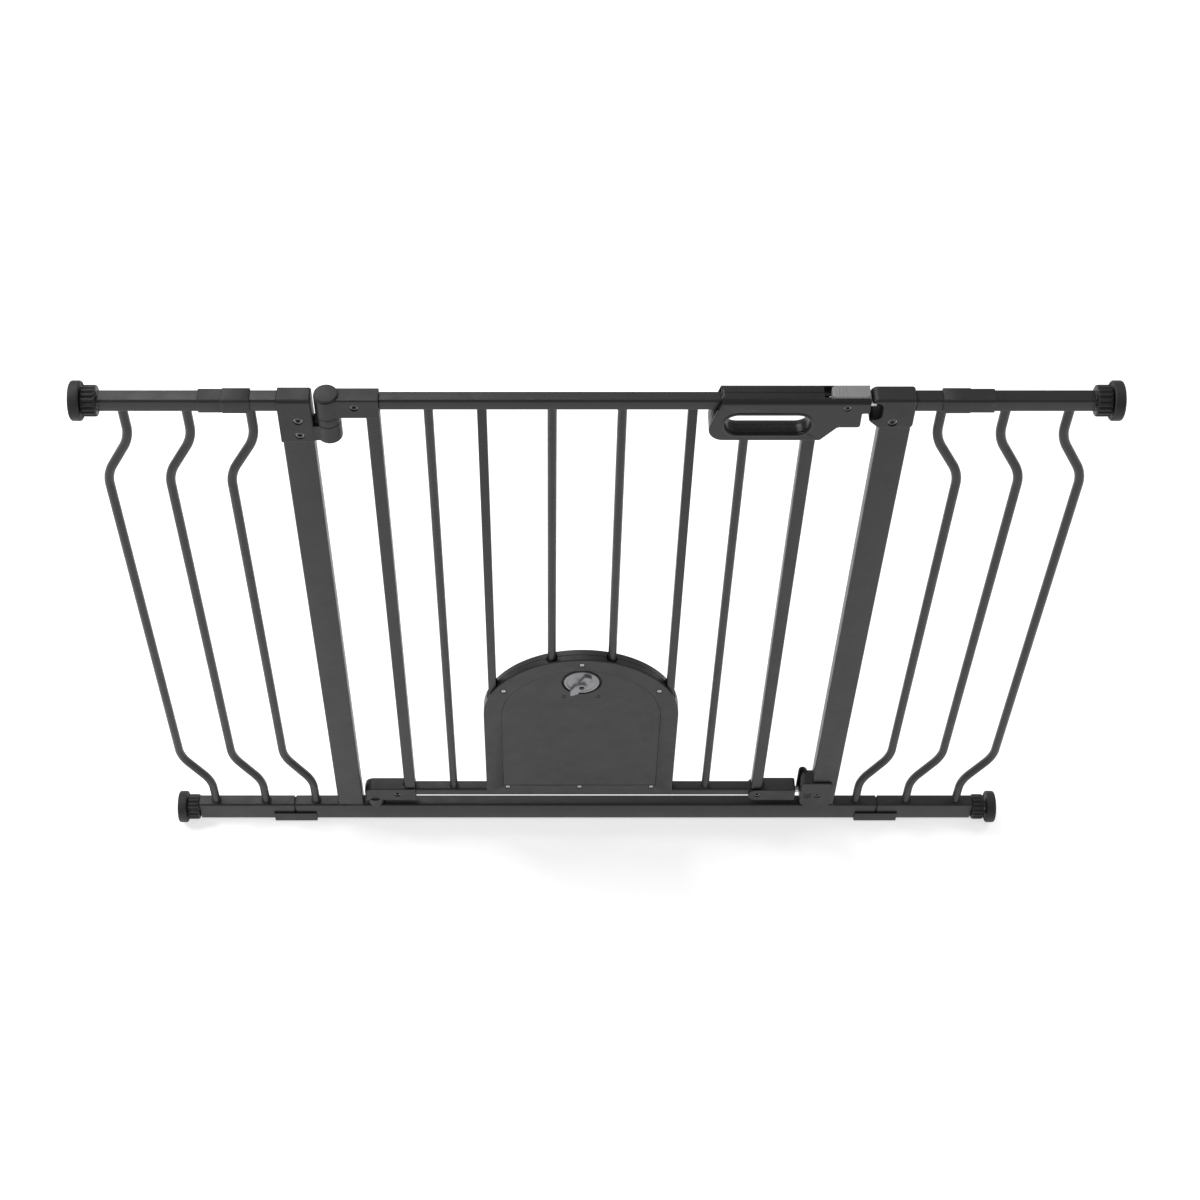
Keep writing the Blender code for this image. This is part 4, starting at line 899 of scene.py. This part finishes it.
def handleShell(node, front):
    shape = handleShape
    high = corners(node)[1]
    frontLow, frontHigh = corners("handle_front")
    right, top, bottom = frontHigh[0], high[2], high[2] - shape["height"]
    (stepIn, stepDown), (noseIn, noseDown) = shape["notch"], shape["nose"]
    points = [(right, top), (right - shape["topReach"], top), (right - shape["footReach"], bottom),
              (right - shape["footEnd"], bottom), (right - stepIn, top - stepDown),
              (right - noseIn, top - stepDown), (right - noseIn, top - noseDown), (right, top - noseDown)]
    outline = softShape(points, shape["soft"], 10)
    face = frontLow[1] + shape["lip"]
    if front:
        near, far = face, -shape["seam"]
        edges = {"edge": shape["edge"], "farEdge": 0.2 * mm}
    else:
        near, far = shape["seam"], high[1]
        edges = {"edge": 0.2 * mm, "farEdge": shape["edge"]}
    shell = slab(node + "Skin", outline, "Y", near, far, "handle", steps=6, **edges)
    # the fold along the top is rounder than the other edges
    outer, inner = (near, far) if front else (far, near)
    section = [(outer, bottom - 9 * mm), (inner, bottom - 9 * mm), (inner, top), (outer, top)]
    fold = slab("fold", softShape(section, [0, 0, 0, shape["fold"]], 10), "X", right - 165 * mm,
                right + 9 * mm, edge=0.01 * mm, steps=1)
    centre = (right - shape["slotAt"][0], top - shape["slotAt"][1])
    # the left end is open near the rail: a pocket with a wall left above, in front and behind
    wall, (pocketStart, pocketDrop, pocketIn) = shape["wall"], shape["pocket"]
    pocketEnd = right - shape["topReach"] + pocketIn
    pocket = slab("pocket", softRect((right - pocketStart, top - pocketDrop), (pocketEnd, top - wall),
                                     1.5 * mm), "Y", face + wall, 5 * mm if front else high[1] - wall,
                  edge=0.5 * mm)
    buttonLow, (before, across) = corners("latch_button")[0], shape["buttonWay"]
    way = slab("way", softRect((buttonLow[0] - before, -across), (right + 5 * mm, across), 1 * mm), "Z",
               buttonLow[2] - 0.4 * mm, top + 5 * mm, edge=0.05 * mm, steps=1)
    boltStart, radius = corners("latch_bolt")[0][0], shape["boltWay"]
    boltWay = lathe("boltWay", [(boltStart - 9 * mm, radius), (right + 5 * mm, radius)], "X",
                    (0, middleOf("latch_bolt")[2]), None)
    cutters = [slotFlare(centre, 40 * mm), pocket, way, boltWay]
    x, z = right - shape["screwAt"][0], top - shape["screwAt"][1]
    if front:
        cutters.append(screwWell((x, z, face), shape["screw"], 2.4 * mm))
    carve(shell, cutters, kept=[fold])
    standFor(shell, node)
    if front:
        gripSleeve(node, centre, face)
        screwHead("handleScrew", (x, face + 2.1 * mm, z), 3.2 * mm, node)
        gripRim(node, centre, face)


def slotFlare(centre, reach):
    # a stadium carried through the handle; behind the middle its floor rounds off downwards as a
    # quarter ellipse: drop = d (1 - cos a) at a distance r sin a
    shape = handleShape
    turn = np.linspace(0, np.pi / 2, 9)
    (length, height), drop = shape["slot"], shape["flareDrop"] * (1 - np.cos(turn))
    places = np.concatenate([[-reach], shape["flareAt"] + shape["flareReach"] * np.sin(turn), [reach]])
    drop = np.concatenate([[0], drop, [shape["flareDrop"]]])
    outlines = [stadium((centre[0], centre[1] - fall / 2), length + fall, height + fall, 24)
                for fall in drop]
    return skin("slot", ringsAlong("Y", np.stack(outlines), places), None)


def gripSleeve(node, centre, face):
    # the lining of the slot: a closed ring of stadiums, each half drafted towards a fine parting line
    # in the middle of the handle's depth, and the back half rounding off downwards
    shape = handleShape
    start, draft, line, thick = face + shape["sleeveBack"], shape["draft"], 0.25 * mm, 0.9 * mm
    turn = np.linspace(0, np.pi / 2, 9)
    places = [start, start + 0.5 * mm, -line, -line / 3, line / 3, line]
    places = np.concatenate([places, shape["flareAt"] + shape["flareReach"] * np.sin(turn)])
    grow = np.array([-0.5 * mm, -thick, -thick - draft, -thick, -thick, -thick - draft] + [-thick] * 9)
    drop = np.concatenate([np.zeros(6), shape["flareDrop"] * (1 - np.cos(turn))])
    places = np.concatenate([places, places[::-1]])
    grow = np.concatenate([grow, np.full(15, 0.4 * mm)])
    drop = np.concatenate([drop, drop[::-1]])
    length, height = shape["slot"]
    outlines = []
    for step, fall in zip(grow, drop):
        size = (length + 2 * step + fall, height + 2 * step + fall)
        outlines.append(stadium((centre[0], centre[1] - fall / 2), *size, 24))
    rings = ringsAlong("Y", np.stack(outlines), places)
    rideWith(skin("gripSleeve", rings, "handle", closed=True, smoothAngle=30), node)


def gripRim(node, centre, face):
    # a flattened half circle carried round the slot: offset = w/2 (1 - cos a) out from the slot,
    # rise = h sin a from the face, so the grip's mouth has a rolled edge
    (length, height), width, rise = (handleShape[key] for key in ("slot", "rimWidth", "rimRise"))
    turn = np.linspace(0, np.pi, 15)
    offsets = np.concatenate([[-0.02 * mm], width / 2 * (1 - np.cos(turn)), [width * 0.5]])
    lips = [stadium(centre, length + 2 * step, height + 2 * step) for step in offsets]
    depths = np.concatenate([[face + 2 * mm], face - rise * np.sin(turn), [face + 2 * mm]])
    rings = ringsAlong("Y", np.stack(lips), depths)
    rideWith(skin(node + "Rim", rings, "handle", closed=True, smoothAngle=70), node)


handleShell("handle_front", True)
handleShell("handle_rear", False)


ridgeShape = {"first": 6 * mm, "apart": 3.2 * mm, "half": 0.75 * mm, "rise": 0.55 * mm, "reach": 6 * mm}


def latchParts():
    node = "latch_button"
    low, high = corners(node)
    outline = softRect(low[:2], high[:2], 4.2 * mm, 10)
    button = slab(node + "Skin", outline, "Z", low[2], high[2], "light", edge=0.3 * mm, farEdge=1.5 * mm,
                  steps=6)
    standFor(button, node)
    # three thumb ridges across the button's left part: half circles that taper to both ends
    shape = ridgeShape
    for i in range(3):
        x = low[0] + shape["first"] + i * shape["apart"]
        turn = np.linspace(0, np.pi, 9)
        rows = np.linspace(-1, 1, 15)
        ends = np.sqrt(np.clip(1 - rows ** 4, 0.02, 1))
        across = x + shape["half"] * np.cos(turn)[None, :] * ends[:, None]
        rise = high[2] - 0.1 * mm + shape["rise"] * np.sin(turn)[None, :] * ends[:, None]
        depth = np.broadcast_to(rows[:, None] * shape["reach"], across.shape)
        top = np.stack([across, depth, rise], -1)
        rideWith(skin(f"thumbRidge{i + 1}", top, "light", smoothAngle=60), node)

    node = "latch_bolt"
    low, high = corners(node)
    radius = (high[2] - low[2]) / 2
    tip = high[0]
    profile = softProfile([(low[0], 1 * mm), (low[0], radius), (tip - 3.2 * mm, radius),
                           (tip - 3.2 * mm, radius - 0.5 * mm), (tip - 2.6 * mm, radius - 0.5 * mm),
                           (tip - 2.6 * mm, radius), (tip, radius), (tip, 0.8 * mm)],
                          [0.4 * mm, 0.1 * mm, 0.1 * mm, 0.1 * mm, 0.1 * mm, 1.2 * mm])
    standFor(lathe(node + "Skin", profile, "X", (0, (low[2] + high[2]) / 2), "steel"), node)


latchParts()
print("handle and latch made")


# pet flap

flapShape = {"band": 20 * mm, "edge": 1.3 * mm, "screwRing": 100 * mm, "screw": 2.5 * mm,
             "screwFoot": 16 * mm, "screwApart": 85 * mm, "barRoom": 5.9 * mm, "uprightRoom": 1.1 * mm,
             "grow": 0.5 * mm, "recess": 22.5 * mm, "recessDepth": 3 * mm, "knob": 19.5 * mm,
             "pointer": math.radians(240), "markAt": (19 * mm, -28 * mm), "markApart": 3.2 * mm}


def doorway(centre, radius, low, steps=64):
    # straight sides under half a circle
    turn = np.linspace(0, np.pi, steps + 1)
    top = np.stack([np.cos(turn), np.sin(turn)], -1) * radius + np.array(centre)
    return np.concatenate([top, [(centre[0] - radius, low), (centre[0] + radius, low)]])


def surround(node, front):
    low, high = corners(node)
    shape = flapShape
    outerRadius = (high[0] - low[0]) / 2
    centre = ((low[0] + high[0]) / 2, high[2] - outerRadius)
    near, far = low[1], high[1]
    edge, farEdge = (shape["edge"], 0.25 * mm) if front else (0.25 * mm, shape["edge"])
    shell = slab(node + "Skin", doorway(centre, outerRadius, low[2]), "Y", near, far, "flap", steps=5,
                 edge=edge, farEdge=farEdge)
    opening = slab("opening", doorway(centre, outerRadius - shape["band"], low[2] + shape["band"]), "Y",
                   -30 * mm, 30 * mm, edge=0.01 * mm, steps=1)
    cutters = [opening]
    for side in ("left", "right"):
        bar, room = corners(f"flap_upright_{side}"), shape["uprightRoom"]
        cutters.append(slab("groove", softRect(bar[0][:2] - room, bar[1][:2] + room, 0.5 * mm), "Z",
                            low[2] + 60 * mm, high[2] + 20 * mm, edge=0.05 * mm, steps=1))
    for number in (2, 3):
        foot, room = corners(f"door_bar_{number}")[0][2] - 0.5 * mm, shape["barRoom"]
        cutters.append(lathe("hole", [(foot, room), (high[2] + 20 * mm, room)], "Z",
                             (middleOf(f"door_bar_{number}")[0], 0), None))
    spots = []
    for angle in (-60, 0, 60):
        turn = math.radians(angle)
        spots.append((centre[0] + shape["screwRing"] * math.sin(turn),
                      centre[1] + shape["screwRing"] * math.cos(turn)))
    spots += [(centre[0] + way * shape["screwApart"], low[2] + shape["screwFoot"]) for way in (-1, 0, 1)]
    if front:
        cutters += [screwWell((x, z, near), shape["screw"] + 0.8 * mm, 1.5 * mm) for x, z in spots]
    carve(shell, cutters)
    standFor(shell, node)
    if front:
        for i, (x, z) in enumerate(spots):
            screwHead(f"flapScrew{i + 1}", (x, near + 0.7 * mm, z), shape["screw"], node,
                      socket="cross")


def petFlap():
    node = "pet_flap"
    low, high = corners(node)
    shape = flapShape
    radius = (high[0] - low[0]) / 2
    centre = ((low[0] + high[0]) / 2, high[2] - radius)
    knob, grow = jointPlace("flap_lock_turn"), shape["grow"]
    outline = doorway(centre, radius + grow, low[2] - grow)
    flap = slab(node + "Skin", outline, "Y", low[1], high[1], "flap", edge=0.5 * mm)
    recess = lathe("recess", softProfile([(low[1] - 5 * mm, shape["recess"]),
                                          (low[1] + shape["recessDepth"], shape["recess"]),
                                          (low[1] + shape["recessDepth"], 1 * mm)], [0.6 * mm]), "Y",
                   (knob[0], knob[2]), None, 80)
    hole = lathe("hole", [(low[1] - 5 * mm, 4.5 * mm), (high[1] + 5 * mm, 4.5 * mm)], "Y",
                 (knob[0], knob[2]), None)
    carve(flap, [recess, hole])
    standFor(flap, node)
    # a dark ring in the shadow finish on the recess floor, painted shade in the recess, and two short twin
    # marks where the pointer stops
    floor, rim = low[1] + shape["recessDepth"], shape["recess"] - 0.15 * mm
    ring = [(floor + 0.4 * mm, rim), (floor - 0.1 * mm, rim), (floor - 0.1 * mm, 5 * mm),
            (floor + 0.4 * mm, 5 * mm)]
    rideWith(lathe("recessShadeFloor", ring, "Y", (knob[0], knob[2]), "shadow", 80, closed=True), node)
    aside, up = shape["markAt"]
    for side in (-1, 1):
        for row in range(2):
            middle = np.array([knob[0] + side * aside, knob[2] + up - (row - 0.5) * shape["markApart"]])
            reach = np.array([2.6 * mm, 0.6 * mm])
            bar = softRect(middle - reach, middle + reach, 0.35 * mm, 3)
            rideWith(slab(f"turnMark{'Left' if side < 0 else 'Right'}{row + 1}", bar, "Y",
                          low[1] - 0.25 * mm, low[1] + 0.3 * mm, "shadow", edge=0.1 * mm), node)


def pointed(points, radii, centre, angle):
    # a shape drawn along +X, turned so that it runs along the pointer, and set on the centre
    cos, sin = math.cos(angle), math.sin(angle)
    turn = np.array([[cos, sin], [-sin, cos]])
    return softShape(np.array(points) @ turn + np.array(centre), radii, 7)


def flapKnob():
    node = "flap_knob"
    low, high = corners(node)
    shape = flapShape
    knob = jointPlace("flap_lock_turn")
    at = (knob[0], knob[2])
    radius = shape["knob"]
    floor = corners("pet_flap")[0][1] + shape["recessDepth"] - 0.3 * mm
    face = floor - 3.4 * mm
    disc = lathe(node + "Skin", softProfile([(high[1], 1 * mm), (high[1], 4 * mm), (floor, 4 * mm),
                                             (floor, radius), (face, radius), (face, radius - 3 * mm),
                                             (face + 0.5 * mm, radius - 3.6 * mm), (face + 0.5 * mm, 1 * mm)],
                                            [0.3 * mm, 0.1 * mm, 0.3 * mm, 0.9 * mm, 0.2 * mm, 0.3 * mm]),
                 "Y", at, "silver", 72)
    tip = radius + 5.5 * mm
    grip = [(-radius + 3 * mm, -4.6 * mm), (tip - 8 * mm, -5 * mm), (tip, 0), (tip - 8 * mm, 5 * mm),
            (-radius + 3 * mm, 4.6 * mm)]
    line = pointed(grip, [3.4 * mm, 2 * mm, 1 * mm, 2 * mm, 3.4 * mm], at, shape["pointer"])
    bar = slab("grip", line, "Y", face - 4 * mm, face + 0.8 * mm, edge=1.4 * mm, farEdge=0.1 * mm)
    boss = lathe("boss", softProfile([(low[1], 1 * mm), (low[1], 5.6 * mm), (face + 1 * mm, 6.2 * mm),
                                      (face + 1 * mm, 1 * mm)], [1.2 * mm, 0.2 * mm]), "Y", at, None)
    well = lathe("well", [(low[1] - 2 * mm, 3.2 * mm), (low[1] + 3.5 * mm, 2.8 * mm)], "Y", at, None)
    carve(disc, [well], [bar, boss])
    standFor(disc, node)

    node = "flap_tongue"
    low, high = corners(node)
    plate = softRect((low[0], low[2]), (high[0], high[2]), 3 * mm, 8)
    standFor(slab(node + "Skin", plate, "Y", low[1], high[1], "steel", edge=0.5 * mm), node)


surround("surround_front", True)
surround("surround_rear", False)
petFlap()
flapKnob()
print("pet flap made")


# floor, light and camera

def studio():
    ground = {"half": 4.0, "lines": 41, "drop": 0.4 * mm}  # a flat grid just under the gate
    steps = np.linspace(-ground["half"], ground["half"], ground["lines"])
    x, y = np.meshgrid(steps, steps, indexing="ij")
    grid = np.stack([x, y, np.full_like(x, -ground["drop"])], -1)
    index = np.arange(x.size).reshape(x.shape)
    quads = np.stack([index[:-1, :-1], index[1:, :-1], index[1:, 1:], index[:-1, 1:]], -1).reshape(-1, 4)
    mesh = bpy.data.meshes.new("floor")
    mesh.from_pydata(grid.reshape(-1, 3), [], quads.tolist())
    floor = bpy.data.objects.new("floor", mesh)
    bpy.context.collection.objects.link(floor)
    mesh.materials.append(finish("paleFloor", {"colour": (0.86, 0.86, 0.86), "rough": 0.7, "vary": 0.01,
                                               "cloudScale": 1.5, "specular": 0.2, "glow": 0.62,
                                               "grain": [(300, 0.00005)]}))

    world = bpy.data.worlds.new("studio")
    bpy.context.scene.world = world
    world.use_nodes = True
    back = world.node_tree.nodes["Background"]
    back.inputs["Color"].default_value = (1.0, 1.0, 1.0, 1)
    back.inputs["Strength"].default_value = 0.36

    lights = {  # name: (place, point aimed at, size, power)
        "backSoft": ((-1.0, 1.9, 3.1), (-0.2, 0, 0.6), 1.7, 34),
        "keyLeft": ((-2.0, 0.3, 2.2), (0, 0, 0.5), 0.7, 26),
        "topRight": ((2.2, 0.8, 2.8), (0, 0, 0.3), 1.2, 12),
    }
    for name, (place, aim, size, power) in lights.items():
        data = bpy.data.lights.new(name, "AREA")
        data.energy, data.size = power, size
        lamp = bpy.data.objects.new(name, data)
        lamp.location = place
        lamp.rotation_euler = (Vector(aim) - Vector(place)).to_track_quat("-Z", "Y").to_euler()
        bpy.context.collection.objects.link(lamp)

    view = {"lens": 62.6, "shift": 0.042, "place": (-43.6 * mm, -1.3235, 2.183), "pitch": 37.1}
    data = bpy.data.cameras.new("camera")
    data.lens, data.shift_x, data.sensor_width = view["lens"], view["shift"], 36
    camera = bpy.data.objects.new("camera", data)
    camera.location = view["place"]
    camera.rotation_euler = (math.radians(view["pitch"]), 0, 0)
    bpy.context.collection.objects.link(camera)
    bpy.context.scene.camera = camera
    bpy.context.scene.view_settings.view_transform = "Standard"


studio()
print("studio ready")
